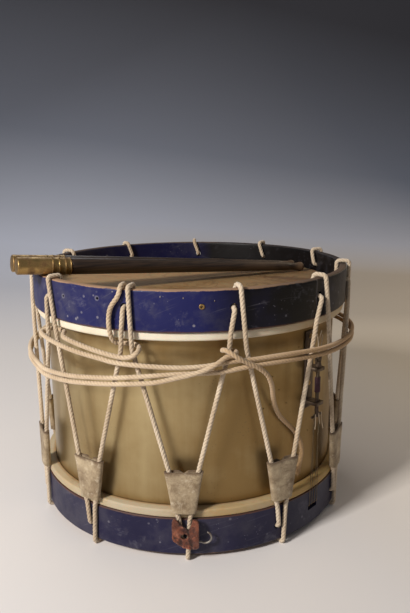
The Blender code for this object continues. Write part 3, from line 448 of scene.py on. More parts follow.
@dataclass(frozen=True)
class SatinBrass:
    """The shell's rolled brass: satin, with tarnish in clouds and in runs, and painted shade towards its
    right side.
    """

    bright: Colour = (0.49, 0.385, 0.205)
    dull: Colour = (0.285, 0.185, 0.072)
    stain: Colour = (0.12, 0.075, 0.035)

    def make(self) -> Material:
        """Makes the finish.

        Returns:
            The material.
        """
        recipe = Recipe("satin_brass")
        clouds = recipe.noise(6.5, detail=5.0, roughness=0.6)
        runs = recipe.noise(1.0, recipe.stretched((46.0, 46.0, 2.4)), detail=4.0)
        rolling = recipe.noise(1.0, recipe.stretched((4.0, 4.0, 1100.0)), detail=2.0)
        height = recipe.axis("Z")
        top = height.over(SIZES.upper_edge - 0.035, SIZES.upper_edge - 0.009)
        foot = height.over(SIZES.lower_edge + 0.040, SIZES.lower_edge + 0.010)
        # Painted shade: the brass is drawn duller towards the right, where the light falls off; it is mixed
        # in with the tarnish.
        shade = recipe.axis("X").over(-0.08, 0.17) * 0.20
        tarnish_and_shade = (clouds * 0.72 + runs * 0.28 + top * 0.13 + foot * 0.09 + shade).over(0.40, 0.68)
        specks = recipe.cells(210.0).over(0.16, 0.10) * recipe.noise(14.0).over(0.52, 0.66)
        colour = recipe.mix(tarnish_and_shade, self.bright, self.dull)
        colour = recipe.mix(specks * 0.6, colour, self.stain)
        roughness = 0.28 + tarnish_and_shade * 0.13 + rolling * 0.05 + specks * 0.2
        metallic = 0.96 - specks * 0.5 - tarnish_and_shade * 0.10
        relief = rolling * 0.35 + runs * 0.25 + clouds * 0.4
        return recipe.dress(colour, roughness, metallic, relief, 0.00012)


@dataclass(frozen=True)
class PaintedWood:
    """A hoop's old blue paint over bent wood, worn through at its rim, with painted shade towards the right
    and inside the hoop and a painted sheen towards the left.
    """

    name: str
    rim: float
    rim_way: int
    face: float
    dust: float = 0.0
    right_shade: float = 1.0
    deep: Colour = (0.0055, 0.0065, 0.062)
    faded: Colour = (0.013, 0.015, 0.080)
    haze: Colour = (0.078, 0.075, 0.100)
    marks: tuple[Point, ...] = ()
    seam: float = SIZES.upper_seam
    painted_shade_tone: Colour = (0.0032, 0.0024, 0.0026)
    undercoat: Colour = (0.20, 0.19, 0.22)
    primer: Colour = (0.10, 0.045, 0.025)
    wood: Colour = (0.42, 0.26, 0.16)
    dark_grain: Colour = (0.24, 0.14, 0.08)
    rim_dark_and_shade: Colour = (0.028, 0.020, 0.018)

    def make(self) -> Material:
        """Makes the finish.

        Returns:
            The material.
        """
        recipe = Recipe(self.name)
        grain = recipe.noise(1.0, recipe.stretched((7.0, 7.0, 330.0)), detail=3.0)
        clouds = recipe.noise(11.0, detail=5.0, roughness=0.62)
        rubbed = recipe.noise(34.0, detail=6.0, roughness=0.72, distortion=0.6)
        fine = recipe.noise(160.0, detail=4.0, roughness=0.7)
        chips = recipe.cells(95.0).over(0.17, 0.12) * recipe.noise(21.0).over(0.52, 0.60)
        specks = recipe.cells(230.0).over(0.13, 0.08) * recipe.noise(27.0).over(0.54, 0.60)
        scratches = recipe.noise(1.0, recipe.stretched((20.0, 20.0, 520.0), turn=(0.5, 0.3, 0.0)), detail=2.0)
        east, north = recipe.axis("X"), recipe.axis("Y")
        from_rim = (recipe.axis("Z") * (-float(self.rim_way)) + float(self.rim_way) * self.rim
                    + (rubbed - 0.5) * 0.0038)
        bare = from_rim.over(0.0011, 0.0005)
        # The bare rim is drawn dark towards the right and back: partly unworn old paint, partly painted
        # shade.
        unworn_and_shade = east.over(0.03, 0.13) * 0.75 + north.over(-0.06, 0.06) * 0.85
        far_edge = from_rim.over(SIZES.hoop_height - 0.0018, SIZES.hoop_height - 0.0008)
        colour = recipe.mix(clouds.over(0.36, 0.66), self.deep, self.faded)
        # Dust in patches, and towards the left a painted sheen where the light falls.
        dust_and_sheen = recipe.noise(19.0, detail=6.0, roughness=0.72) + east.over(-0.02, -0.17) * 0.07 + self.dust
        colour = recipe.mix(dust_and_sheen.over(0.53, 0.80) * 0.70, colour, self.haze)
        # Painted shade: the paint goes near black towards the right, where the light falls off, and inside
        # the hoop.
        dark = east.over(0.010, 0.060) * (recipe.noise(17.0, detail=4.0) + 0.45) * self.right_shade
        inside = recipe.span().over(self.face - 0.0060, self.face - 0.0085)
        dark = dark + inside * 0.55
        colour = recipe.mix(dark, colour, self.painted_shade_tone)
        worn = (rubbed.over(0.57, 0.74) * 0.45 + scratches.over(0.64, 0.74) * 0.16) * (1.0 - inside * 0.7)
        colour = recipe.mix(worn, colour, self.undercoat)
        lap = math.radians(self.seam)
        across = east * math.cos(lap) + north * math.sin(lap)
        near = (east * math.sin(lap) - north * math.cos(lap)).over(0.10, 0.12)
        edge = (across - 0.0009).over(0.0014, 0.0004) * across.over(0.0001, 0.0004) * near
        colour = recipe.mix(edge * (0.35 + clouds * 0.5) * (1.0 - inside), colour, self.undercoat)
        for angle, height in self.marks:
            away = recipe.distance(polar(angle, self.face, height))
            ring = (away + (rubbed - 0.5) * 0.0030).over(0.0032, 0.0021)
            colour = recipe.mix(ring * 0.5, colour, self.undercoat)
        colour = recipe.mix(chips * 0.8 + specks * 0.7, colour, self.undercoat)
        timber = recipe.mix(unworn_and_shade, recipe.mix(grain, self.wood, self.dark_grain), self.rim_dark_and_shade)
        colour = recipe.mix(far_edge * 0.75, colour, self.primer)
        colour = recipe.mix(bare, colour, timber)
        roughness = 0.30 + worn * 0.4 + bare * 0.35 + fine * 0.16 + chips * 0.2 + dust_and_sheen * 0.08
        relief = grain * 0.45 + fine * 0.25 + (1.0 - bare) * 0.3 - chips * 0.3
        return recipe.dress(colour, roughness, 0.0, relief, 0.00018, Specular_IOR_Level=0.23)


@dataclass(frozen=True)
class Calfskin:
    """A head's skin: tan and mottled where it is played, cream where it is lapped round its hoop, with
    painted shade towards the right: browner on the played face and amber on the laps.
    """

    cream: Colour = (0.74, 0.66, 0.52)
    grey: Colour = (0.40, 0.335, 0.235)
    amber: Colour = (0.40, 0.26, 0.095)
    tan: Colour = (0.28, 0.157, 0.060)
    light: Colour = (0.39, 0.255, 0.115)
    brown: Colour = (0.12, 0.062, 0.026)

    def make(self) -> Material:
        """Makes the finish.

        Returns:
            The material.
        """
        recipe = Recipe("calfskin")
        east, span = recipe.axis("X"), recipe.span()
        lapped = span.over(SIZES.skirt - 0.001, SIZES.skirt + 0.003)
        clouds = recipe.noise(9.0, detail=6.0, roughness=0.65)
        veins = abs(recipe.noise(13.0, detail=3.0, distortion=1.6) - 0.5).over(0.035, 0.0)
        blots = recipe.noise(26.0, detail=4.0, roughness=0.7)
        pores = recipe.noise(420.0, detail=2.0)
        played = span.over(0.10, 0.02)
        streaks = recipe.noise(1.0, recipe.stretched((5.0, 26.0, 5.0), turn=(0.0, 0.0, 0.35)), detail=4.0)
        field_colour = recipe.mix(clouds.over(0.34, 0.68), self.tan, self.light)
        # Dirt in veins, play and streaks, and painted shade towards the right.
        soil_and_shade = veins * 0.30 + played * 0.22 + streaks.over(0.52, 0.70) * 0.5 + east.over(0.0, 0.12) * 0.65
        field_colour = recipe.mix(soil_and_shade, field_colour, self.brown)
        lower = recipe.axis("Z").over(0.12, 0.06)
        # The lower lap is drawn older; towards the right both laps get painted warm shade.
        age_and_warm_shade = lower * (0.35 + east.over(-0.06, 0.12) * 0.5)
        lap_colour = recipe.mix(lower * 0.85, self.cream, self.grey)
        warm_shade_right = east.over(0.02, 0.13) * (1.0 - lower) * 0.5
        lap_colour = recipe.mix(clouds.over(0.42, 0.72) * 0.4 + age_and_warm_shade * clouds.over(0.25, 0.60) + warm_shade_right,
                                lap_colour, self.amber)
        colour = recipe.mix(lapped, field_colour, lap_colour)
        colour = recipe.mix(blots.over(0.62, 0.78) * 0.5, colour, self.brown)
        roughness = 0.55 + clouds * 0.14 + blots * 0.08
        relief = pores * 0.3 + clouds * 0.5 + veins * 0.2
        return recipe.dress(colour, roughness, 0.0, relief, 0.00012,
                            Specular_IOR_Level=0.3, Subsurface_Weight=0.12, Subsurface_Scale=0.002)


@dataclass(frozen=True)
class LaidRope:
    """Three-strand hemp rope, its yarns and the darkening between its strands, dirt and painted shade, drawn
    along its own UV, with painted warm shade towards the right where asked.
    """

    name: str = "laid_rope"
    light: Colour = (0.69, 0.57, 0.425)
    dark: Colour = (0.43, 0.315, 0.200)
    groove: Colour = (0.20, 0.125, 0.068)
    warm_shade: float = 0.0
    fluff: Colour = (0.72, 0.61, 0.45)
    warm_shade_tone: Colour = (0.42, 0.245, 0.100)

    def make(self) -> Material:
        """Makes the finish.

        Returns:
            The material.
        """
        recipe = Recipe(self.name)
        along = recipe.own_map()
        crest = abs((recipe.axis("X", along) * (3 * math.pi)).cosine())
        yarns = recipe.noise(1.0, recipe.stretched((30.0, 210.0, 1.0), along), detail=3.0, roughness=0.6)
        fluff = recipe.noise(620.0, detail=3.0, roughness=0.7)
        soil = recipe.noise(19.0, detail=5.0, roughness=0.65)
        colour = recipe.mix(soil.over(0.36, 0.68), self.light, self.dark)
        colour = recipe.mix(yarns.over(0.40, 0.72) * 0.45, colour, self.dark)
        # Dirt and painted shade in the grooves between the strands.
        colour = recipe.mix(crest.over(0.34, 0.02) * (0.25 + soil * 0.6), colour, self.groove)
        colour = recipe.mix(fluff.over(0.54, 0.74) * 0.35, colour, self.fluff)
        # Painted warm shade towards the right, where the warm fill light falls.
        colour = recipe.mix(recipe.axis("X").over(0.0, 0.12) * self.warm_shade, colour, self.warm_shade_tone)
        relief = yarns * 0.45 + fluff * 0.55
        return recipe.dress(colour, 0.92, 0.0, relief, 0.00035,
                            Specular_IOR_Level=0.18, Sheen_Weight=0.25, Sheen_Roughness=0.6)


@dataclass(frozen=True)
class Leather:
    """Suede or smooth leather, mottled, rubbed and darker in its creases, with painted shade in the hollows
    of a buckled piece.
    """

    name: str
    light: Colour
    dark: Colour
    rubbed: Colour
    roughness: float = 0.86
    raw_top: float = 1.0
    depth: float = 0.00045
    deep: Colour = (0.020, 0.008, 0.006)
    raw: Colour = (0.10, 0.058, 0.032)

    def make(self) -> Material:
        """Makes the finish.

        Returns:
            The material.
        """
        recipe = Recipe(self.name)
        clouds = recipe.noise(55.0, detail=5.0, roughness=0.65)
        blots = recipe.noise(150.0, detail=4.0, roughness=0.7)
        nap = recipe.noise(1300.0, detail=2.0)
        creases = abs(recipe.noise(70.0, detail=3.0, distortion=1.2) - 0.5).over(0.030, 0.0)
        pits = recipe.cells(480.0).over(0.24, 0.12)
        colour = recipe.mix(clouds.over(0.36, 0.66), self.light, self.dark)
        colour = recipe.mix(blots.over(0.56, 0.70) * 0.6, colour, self.rubbed)
        colour = recipe.mix(creases * 0.5 + pits * 0.25, colour, self.dark)
        # Painted shade: points that lie back in a buckled piece's hollows are drawn near black.
        hollow = recipe.node("ShaderNodeAttribute", {"attribute_name": "hollow"}, output="Fac")
        colour = recipe.mix(hollow.over(0.25, 0.85) * 0.85, colour, self.deep)
        raw = (recipe.axis("Z") + (clouds - 0.5) * 0.006).over(self.raw_top - 0.0035, self.raw_top)
        colour = recipe.mix(raw * 0.85, colour, self.raw)
        relief = clouds * 0.35 + nap * 0.25 + blots * 0.25 - creases * 0.35 - pits * 0.15
        return recipe.dress(colour, self.roughness - blots * 0.12, 0.0, relief, self.depth,
                            Specular_IOR_Level=0.25, Sheen_Weight=0.12)


@dataclass(frozen=True)
class OldMetal:
    """Iron, steel or brass small parts with rust or tarnish in patches."""

    name: str
    clean: Colour
    patina: Colour
    low: float = 0.45
    high: float = 0.62
    roughness: float = 0.38
    metallic_patina: float = 0.3

    def make(self) -> Material:
        """Makes the finish.

        Returns:
            The material.
        """
        recipe = Recipe(self.name)
        patches = recipe.noise(90.0, detail=5.0, roughness=0.66).over(self.low, self.high)
        grit = recipe.noise(900.0, detail=3.0)
        wear = recipe.noise(1.0, recipe.stretched((160.0, 160.0, 1400.0)), detail=2.0)
        colour = recipe.mix(patches, self.clean, self.patina)
        colour = recipe.mix(grit.over(0.55, 0.75) * 0.35, colour, self.patina)
        roughness = self.roughness + patches * 0.28 + wear * 0.10
        metallic = 1.0 - patches * (1.0 - self.metallic_patina)
        relief = patches * 0.4 + grit * 0.4 + wear * 0.2
        return recipe.dress(colour, roughness, metallic, relief, 0.00010)


@dataclass(frozen=True)
class GutLine:
    """Twisted gut, amber and waxy."""

    pale: Colour = (0.38, 0.29, 0.17)
    amber: Colour = (0.20, 0.13, 0.060)

    def make(self) -> Material:
        """Makes the finish.

        Returns:
            The material.
        """
        recipe = Recipe("gut_line")
        along = recipe.own_map()
        fibres = recipe.noise(1.0, recipe.stretched((9.0, 160.0, 1.0), along), detail=3.0)
        clouds = recipe.noise(60.0, detail=3.0)
        colour = recipe.mix(clouds, self.pale, self.amber)
        colour = recipe.mix(fibres.over(0.5, 0.7) * 0.4, colour, self.amber)
        return recipe.dress(colour, 0.40 + fibres * 0.15, 0.0, fibres, 0.00006, Subsurface_Weight=0.1,
                            Subsurface_Scale=0.001)


@dataclass(frozen=True)
class StickWood:
    """Dark, polished hardwood with its grain along the stick, rubbed lighter towards the tip."""

    turn: float
    dark: Colour = (0.014, 0.008, 0.005)
    brown: Colour = (0.044, 0.024, 0.013)
    tip: Colour = (0.13, 0.075, 0.038)
    tip_start: float = 0.05
    tip_end: float = 0.17

    def make(self) -> Material:
        """Makes the finish.

        Returns:
            The material.
        """
        recipe = Recipe("stick_wood")
        lengthways = recipe.stretched((1.0, 1.0, 1.0), turn=(0.0, 0.0, -self.turn))
        grain = recipe.noise(1.0, recipe.stretched((14.0, 700.0, 700.0), lengthways), detail=4.0)
        clouds = recipe.noise(30.0, detail=4.0)
        rubbed = recipe.axis("X", lengthways).over(self.tip_start, self.tip_end) * clouds.over(0.35, 0.65)
        colour = recipe.mix(grain.over(0.38, 0.66), self.dark, self.brown)
        colour = recipe.mix(rubbed * 0.8, colour, self.tip)
        roughness = 0.27 + clouds * 0.16 + grain * 0.08
        return recipe.dress(colour, roughness, 0.0, grain * 0.6 + clouds * 0.4, 0.00006,
                            Coat_Roughness=0.25, Specular_IOR_Level=0.5)


@dataclass(frozen=True)
class BareTimber:
    """Plain wood of the hidden flesh hoops."""

    pale: Colour = (0.52, 0.37, 0.22)
    dark: Colour = (0.36, 0.23, 0.12)

    def make(self) -> Material:
        """Makes the finish.

        Returns:
            The material.
        """
        recipe = Recipe("bare_timber")
        grain = recipe.noise(1.0, recipe.stretched((9.0, 9.0, 500.0)), detail=4.0)
        colour = recipe.ramp(grain, (0.35, self.pale), (0.65, self.dark))
        return recipe.dress(colour, 0.6 + grain * 0.2, 0.0, grain, 0.00015)


@dataclass(frozen=True)
class StudioPaper:
    """The floor's pale paper, which fades to a dark cool grey up the backdrop, drawn darker towards the right
    as painted shade, with a painted pool of warm light right of and behind the drum that turns to painted
    shade further back.
    """

    floor: Colour = (0.72, 0.685, 0.665)
    haze: Colour = (0.58, 0.60, 0.68)
    warm_light_tone: Colour = (0.88, 0.76, 0.58)
    shade: Colour = (0.45, 0.39, 0.31)
    wall: Colour = (0.20, 0.215, 0.26)
    top: Colour = (0.060, 0.060, 0.070)
    fade_start: float = 0.5
    fade_end: float = 3.5

    def make(self) -> Material:
        """Makes the finish.

        Returns:
            The material.
        """
        recipe = Recipe("studio_paper")
        east, north = recipe.axis("X"), recipe.axis("Y")
        # Darker up the backdrop; the darkening towards the right is painted shade.
        fade_and_shade = (north + recipe.axis("Z") + east * 0.22).over(self.fade_start, self.fade_end)
        tooth = recipe.noise(700.0, detail=2.0)
        colour = recipe.ramp(fade_and_shade, (0.0, self.floor), (0.42, self.haze), (0.72, self.wall), (1.0, self.top))
        # A painted pool of warm light right of the drum, turning to painted shade further back.
        painted_warm_light = (east + north * 0.35).over(0.12, 0.62) * fade_and_shade.over(0.52, 0.40)
        light_to_shade = recipe.mix(north.over(0.2, 0.95), self.warm_light_tone, self.shade)
        colour = recipe.mix(painted_warm_light * 0.9, colour, light_to_shade)
        return recipe.dress(colour, 0.85, 0.0, tooth, 0.00005, Specular_IOR_Level=0.2)


# Mesh making

def placed(name: str, data: bpy.types.ID) -> bpy.types.Object:
    """A new object with some data, at the scene's origin."""
    item = bpy.data.objects.new(name, data)
    bpy.context.scene.collection.objects.link(item)
    return item


def meshed(name: str, bm: Mesh) -> bpy.types.Object:
    """A new object with a mesh, whose bmesh is used up."""
    mesh = bpy.data.meshes.new(name)
    bm.to_mesh(mesh)
    bm.free()
    return placed(name, mesh)


def spun(profile: Sequence[Point], steps: int, closed: bool = True) -> Mesh:
    """Turns an outline of (radius, height) points about Z.

    Args:
        profile: The outline's points.
        steps: The number of steps round.
        closed: True if the outline closes on itself, False if it starts or ends on the axis.

    Returns:
        The turned mesh, its doubles merged and its faces pointing out.
    """
    bm = bmesh.new()
    points = [bm.verts.new((radius, 0.0, height)) for radius, height in profile]
    edges = [bm.edges.new(pair) for pair in zip(points, points[1:])]
    if closed:
        edges.append(bm.edges.new((points[-1], points[0])))
    bmesh.ops.spin(bm, geom=points + edges, cent=(0, 0, 0), axis=(0, 0, 1), angle=math.tau, steps=steps,
                   use_merge=True)
    bmesh.ops.remove_doubles(bm, verts=bm.verts, dist=0.000002)
    bmesh.ops.recalc_face_normals(bm, faces=bm.faces)
    return bm


def drill(radius: float, depth: float, place: Matrix, into: Mesh, sides: int = 20) -> None:
    """Adds a round cutter that points along a place's Y."""
    bmesh.ops.create_cone(into, cap_ends=True, segments=sides, radius1=radius, radius2=radius, depth=depth,
                          matrix=place @ OUTWARDS)


def block(size: Sequence[float], place: Matrix, into: Mesh) -> list[bmesh.types.BMVert]:
    """Adds a block of a size at a place and gives its corners."""
    shape = place @ Matrix.Diagonal((*size, 1.0))
    return bmesh.ops.create_cube(into, size=1.0, matrix=shape)["verts"]


def bored(body: Mesh, cutters: Mesh) -> Mesh:
    """The body with the cutters taken out of it; both are used up.

    Args:
        body: The mesh that is cut.
        cutters: Closed shapes, which may not cross.

    Returns:
        The cut mesh.
    """
    pair = [meshed("body", body), meshed("cutters", cutters)]
    cut = pair[0].modifiers.new("bore", "BOOLEAN")
    cut.operation = "DIFFERENCE"
    cut.solver = "EXACT"
    cut.object = pair[1]
    ready = pair[0].evaluated_get(bpy.context.evaluated_depsgraph_get())
    mesh = bpy.data.meshes.new_from_object(ready)
    result = bmesh.new()
    result.from_mesh(mesh)
    for item in pair:
        old = item.data
        bpy.data.objects.remove(item)
        bpy.data.meshes.remove(old)
    bpy.data.meshes.remove(mesh)
    return result


def rounded(bm: Mesh, edges: list[bmesh.types.BMEdge], width: float, segments: int) -> None:
    """Rounds a mesh's edges over a width, in a number of steps."""
    bmesh.ops.bevel(bm, geom=edges, offset=width, segments=segments, profile=0.5, affect="EDGES", material=-1)


def eased(node: str, width: float) -> Mesh:
    """A copy of a frame's node, merged, with its hard edges rounded, about the drum's axis.

    Args:
        node: The node's name.
        width: The width of the rounding.

    Returns:
        The copy.
    """
    bm = bmesh.new()
    bm.from_mesh(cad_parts[node].data)
    bmesh.ops.translate(bm, vec=-Vector(SIZES.axis), verts=bm.verts)
    bmesh.ops.remove_doubles(bm, verts=bm.verts, dist=0.000005)
    bmesh.ops.dissolve_limit(bm, angle_limit=math.radians(2), verts=bm.verts, edges=bm.edges)
    hard = [edge for edge in bm.edges if edge.is_manifold and edge.calc_face_angle() > math.radians(40)]
    rounded(bm, hard, width, 2)
    return bm


def roughened(bm: Mesh, depth: float, size: float, seed: float) -> None:
    """Moves each point along its normal by a smooth noise of a depth and a size.

    Args:
        bm: The mesh, which is changed.
        depth: The greatest shift.
        size: The size of the noise's features.
        seed: What sets it apart from other noise.
    """
    bm.normal_update()
    shift = Vector((seed, 2.7 * seed, -1.3 * seed))
    for vert in bm.verts:
        vert.co += vert.normal * depth * noise.noise(vert.co / size + shift)


@dataclass(frozen=True)
class Lay:
    """How a rope, wire or gut line is made up."""

    radius: float
    step: float
    columns: int = 12
    strands: int = 0
    pitch: float = 0.0
    groove: float = 0.0

    def section(self) -> list[Vector]:
        """The outline of a cut across it, with a lobe for each strand.

        Returns:
            The outline's points, in X and Y.
        """
        outline = []
        for column in range(self.columns):
            turn = math.tau * column / self.columns
            lobe = abs(math.cos(self.strands * turn / 2)) ** 0.6 if self.strands else 1.0
            reach = self.radius * (1.0 - self.groove + self.groove * lobe)
            outline.append(Vector((reach * math.cos(turn), reach * math.sin(turn), 0.0)))
        return outline

    def turns(self, length: float) -> float:
        """The turn of its strands over a length, a whole number of strands so that ends can meet.

        Args:
            length: The length.

        Returns:
            The turn, in radians.
        """
        if not self.strands:
            return 0.0
        return math.tau / self.strands * round(self.strands * length / self.pitch)


def carried(route: Sequence[Vector], up: Vector, twist: float, end_up: Vector | None = None) -> list[Matrix]:
    """Frames along a route, carried without spin and then twisted evenly.

    Args:
        route: The points of the route.
        up: The direction that the first frame's X starts from.
        twist: The turn from end to end.
        end_up: The direction that the last frame's X has to have before the twist, if any.

    Returns:
        A frame at each point, with Z along the route.
    """
    steps = [(b - a).normalized() for a, b in zip(route, route[1:])]
    ways = [steps[0], *[(a + b).normalized() for a, b in zip(steps, steps[1:])], steps[-1]]
    side = (up - ways[0] * up.dot(ways[0])).normalized()
    sides = [side]
    for before, after in zip(ways, ways[1:]):
        side = before.rotation_difference(after) @ side
        side = (side - after * side.dot(after)).normalized()
        sides.append(side)
    if end_up is not None:
        wanted = (end_up - ways[-1] * end_up.dot(ways[-1])).normalized()
        twist += math.atan2(sides[-1].cross(wanted).dot(ways[-1]), sides[-1].dot(wanted))
    frames = []
    for number, (point, way, side) in enumerate(zip(route, ways, sides)):
        turn = Matrix.Rotation(twist * number / (len(route) - 1), 3, way)
        across = turn @ side
        rows = Matrix((across, way.cross(across), way)).transposed()
        frames.append(Matrix.Translation(point) @ rows.to_4x4())
    return frames


def swept(bm: Mesh, frames: Sequence[Matrix], lay: Lay, start: float = 0.0,
          taper: Callable[[float], float] | None = None) -> None:
    """Sweeps a lay's section along frames and caps both ends.

    Args:
        bm: The mesh that it is added to.
        frames: The frames along its middle.
        lay: Its make-up.
        start: The length along the whole rope at the first frame, for its UV.
        taper: The share of its thickness at a share of its length, if it varies.
    """
    rows, outline = len(frames) - 1, lay.section()
    along = [start]
    for before, after in zip(frames, frames[1:]):
        along.append(along[-1] + (after.translation - before.translation).length)
    uv_layer = bm.loops.layers.uv.verify()
    grid = bmesh.ops.create_grid(bm, x_segments=lay.columns, y_segments=rows, size=0.5, calc_uvs=True)
    verts = grid["verts"]
    faces = list({face for vert in verts for face in vert.link_faces})
    for face in faces:
        for loop in face.loops:
            turn, share = loop[uv_layer].uv
            loop[uv_layer].uv = (turn, along[round(share * rows)])
    seam = []
    for vert in verts:
        column, row = round((vert.co.x + 0.5) * lay.columns), round((vert.co.y + 0.5) * rows)
        share = taper(row / rows) if taper else 1.0
        vert.co = frames[row] @ (outline[column % lay.columns] * share)
        if column in (0, lay.columns):
            seam.append(vert)
    bmesh.ops.remove_doubles(bm, verts=seam, dist=0.000001)
    rims = list({edge for face in faces for edge in face.edges if edge.is_boundary})
    caps = bmesh.ops.holes_fill(bm, edges=rims, sides=0)["faces"]
    bmesh.ops.recalc_face_normals(bm, faces=faces + caps)


def strung(bm: Mesh, points: Sequence[Vector], up: Vector, lay: Lay, twist: float = 0.0,
           taper: Callable[[float], float] | None = None) -> None:
    """Sweeps a lay's section along points; the rest is as for carried and swept."""
    swept(bm, carried(points, up, twist), lay, taper=taper)


class Bench:
    """Where finished meshes become named pieces that ride on the frame."""

    def __init__(self) -> None:
        """Makes every finish once."""
        finishes = {
            "shell": SatinBrass(),
            "upper_paint": PaintedWood("upper_hoop_paint", SIZES.upper_rim, 1, SIZES.upper_face,
                                       marks=tuple(hole[:2] for hole in SIZES.old_holes)),
            "lower_paint": PaintedWood("lower_hoop_paint", SIZES.lower_rim, -1, SIZES.lower_face, 0.06, 0.20,
                                       (0.010, 0.009, 0.034), (0.022, 0.020, 0.052),
                                       (0.062, 0.057, 0.076), seam=SIZES.lower_seam),
            "skin": Calfskin(),
            "rope": LaidRope(),
            "spare_rope": LaidRope("spare_laid_rope", (0.66, 0.52, 0.36), (0.45, 0.32, 0.195), warm_shade=0.8),
            "buff": Leather("buff_leather", (0.44, 0.345, 0.222), (0.19, 0.130, 0.074), (0.57, 0.480, 0.355),
                            raw_top=SIZES.lower_edge + SIZES.lap_height + 0.0483),
            "red": Leather("red_leather", (0.30, 0.095, 0.048), (0.040, 0.013, 0.010), (0.46, 0.22, 0.14),
                           0.50, depth=0.0011),
            "whipping": Leather("whipping_thread", (0.085, 0.032, 0.045), (0.030, 0.014, 0.018),
                                (0.14, 0.075, 0.080)),
            "iron": OldMetal("dark_iron", (0.13, 0.098, 0.070), (0.065, 0.036, 0.022)),
            "steel": OldMetal("steel_wire", (0.34, 0.32, 0.29), (0.13, 0.085, 0.055), 0.45, 0.64),
            "brass": OldMetal("aged_brass", (0.43, 0.28, 0.105), (0.16, 0.088, 0.034), 0.40, 0.64, 0.26, 0.7),
            "gut": GutLine(),
            "timber": BareTimber(),
        }
        self.finishes = {name: finish.make() for name, finish in finishes.items()}

    def lay(self, name: str, bm: Mesh, finish: str, body: str, stands_for: Sequence[str] = (),
            slot: str = "", hard: float = 40.0,
            bend: tuple[Vector, Vector] | None = None) -> bpy.types.Object:
        """Turns a mesh made about the drum's axis into a piece in its place.

        Args:
            name: The piece's name.
            bm: Its mesh, which is used up.
            finish: The name of its finish.
            body: The body that it rides on; with bend given it is only logged.
            stands_for: The frame's nodes that it replaces.
            slot: The record's material slot; not used.
            hard: The angle past which an edge stays sharp.
            bend: Two places, from the drum towards the body; if given, the piece is left on no body with its
                place baked into its mesh, and the places are not used.

        Returns:
            The piece.
        """
        shift = Vector(SIZES.axis)
        bmesh.ops.translate(bm, vec=shift, verts=bm.verts)
        piece = meshed(name, bm)
        mesh = piece.data
        mesh.materials.append(self.finishes[finish])
        mesh.shade_smooth()
        mesh.set_sharp_from_angle(angle=math.radians(hard))
        if bend:
            bend[0] + shift
            bend[1] + shift
            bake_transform(piece)
        else:
            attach(piece, body)
        if stands_for:
            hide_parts(*stands_for)
        log.info("%s: %d faces, on %s", name, len(mesh.polygons), body)
        return piece


@dataclass
class Assembly:
    """A sub-assembly of the drum, which lays its pieces on a bench."""

    bench: Bench


def walled(piece: bpy.types.Object, wall: float, side: float) -> None:
    """Gives an open face its wall; side is -1 inwards and 0 both ways."""
    solid = piece.modifiers.new("wall", "SOLIDIFY")
    solid.thickness = wall
    solid.offset = side


# Shell, hoops and heads

@dataclass
class BrassShell(Assembly):
    """The smooth brass cylinder with its rolled edges, vent and old screw holes."""

    steps: int = 264
    rows: int = 36
    roll: float = 0.0026
    vent: float = 0.003
    vent_angle: float = 197.0
    wave_depth: float = 0.0004
    calm: float = 0.014
    wave_rise: float = 0.03
    old_hole: float = 0.0008
    old_holes: tuple[Point, ...] = ((29.3, 0.199), (32.1, 0.182), (35.5, 0.164), (28.5, 0.167),
                                    (25.7, 0.164), (48.0, 0.119), (52.0, 0.125), (41.2, 0.226))

    def build(self) -> None:
        """Lays the shell on the bench."""
        top = SIZES.batter - SIZES.skin - SIZES.gap
        foot = SIZES.snare + SIZES.skin + SIZES.gap
        bead = SIZES.wall / 2
        inner, rolled = SIZES.shell - SIZES.wall, SIZES.shell - self.roll
        outer = SIZES.shell - SIZES.gap
        profile = [
            (rolled, top), *arc((outer - bead, top - bead), bead, 90, 0, 3),
            *between((outer, top - bead), (outer, foot + bead), self.rows),
            *arc((outer - bead, foot + bead), bead, 0, -90, 3), (rolled, foot),
            (rolled, foot + self.roll), (inner, foot + 2 * self.roll),
            *between((inner, foot + 2 * self.roll), (inner, top - 2 * self.roll), self.rows // 2),
            (inner, top - 2 * self.roll), (rolled, top - self.roll),
        ]
        bm = spun(profile, self.steps)
        self._dent(bm)
        cutters = bmesh.new()
        drill(self.vent, 4 * self.roll, facing(self.vent_angle, SIZES.shell, (top + foot) / 2), cutters, 32)
        for angle, height in self.old_holes:
            drill(self.old_hole, 4 * self.roll, facing(angle, SIZES.shell, height), cutters, 10)
        self.bench.lay("shell_brass", bored(bm, cutters), "shell", "drum", ["shell"], "brass_shell")

    def _dent(self, bm: Mesh) -> None:
        """Gives the sheet its slight waves, none near the rolled edges.

        Args:
            bm: The mesh, which is changed.
        """
        for vert in bm.verts:
            height = vert.co.z
            inside = min(SIZES.upper_edge - self.calm - height, height - SIZES.lower_edge - self.calm)
            ease = min(1.0, max(0.0, inside / self.wave_rise))
            wave = noise.noise(Vector((vert.co.x * 9, vert.co.y * 9, height * 14)))
            vert.co += level_out(vert.co).normalized() * ease * self.wave_depth * (wave - 0.5)


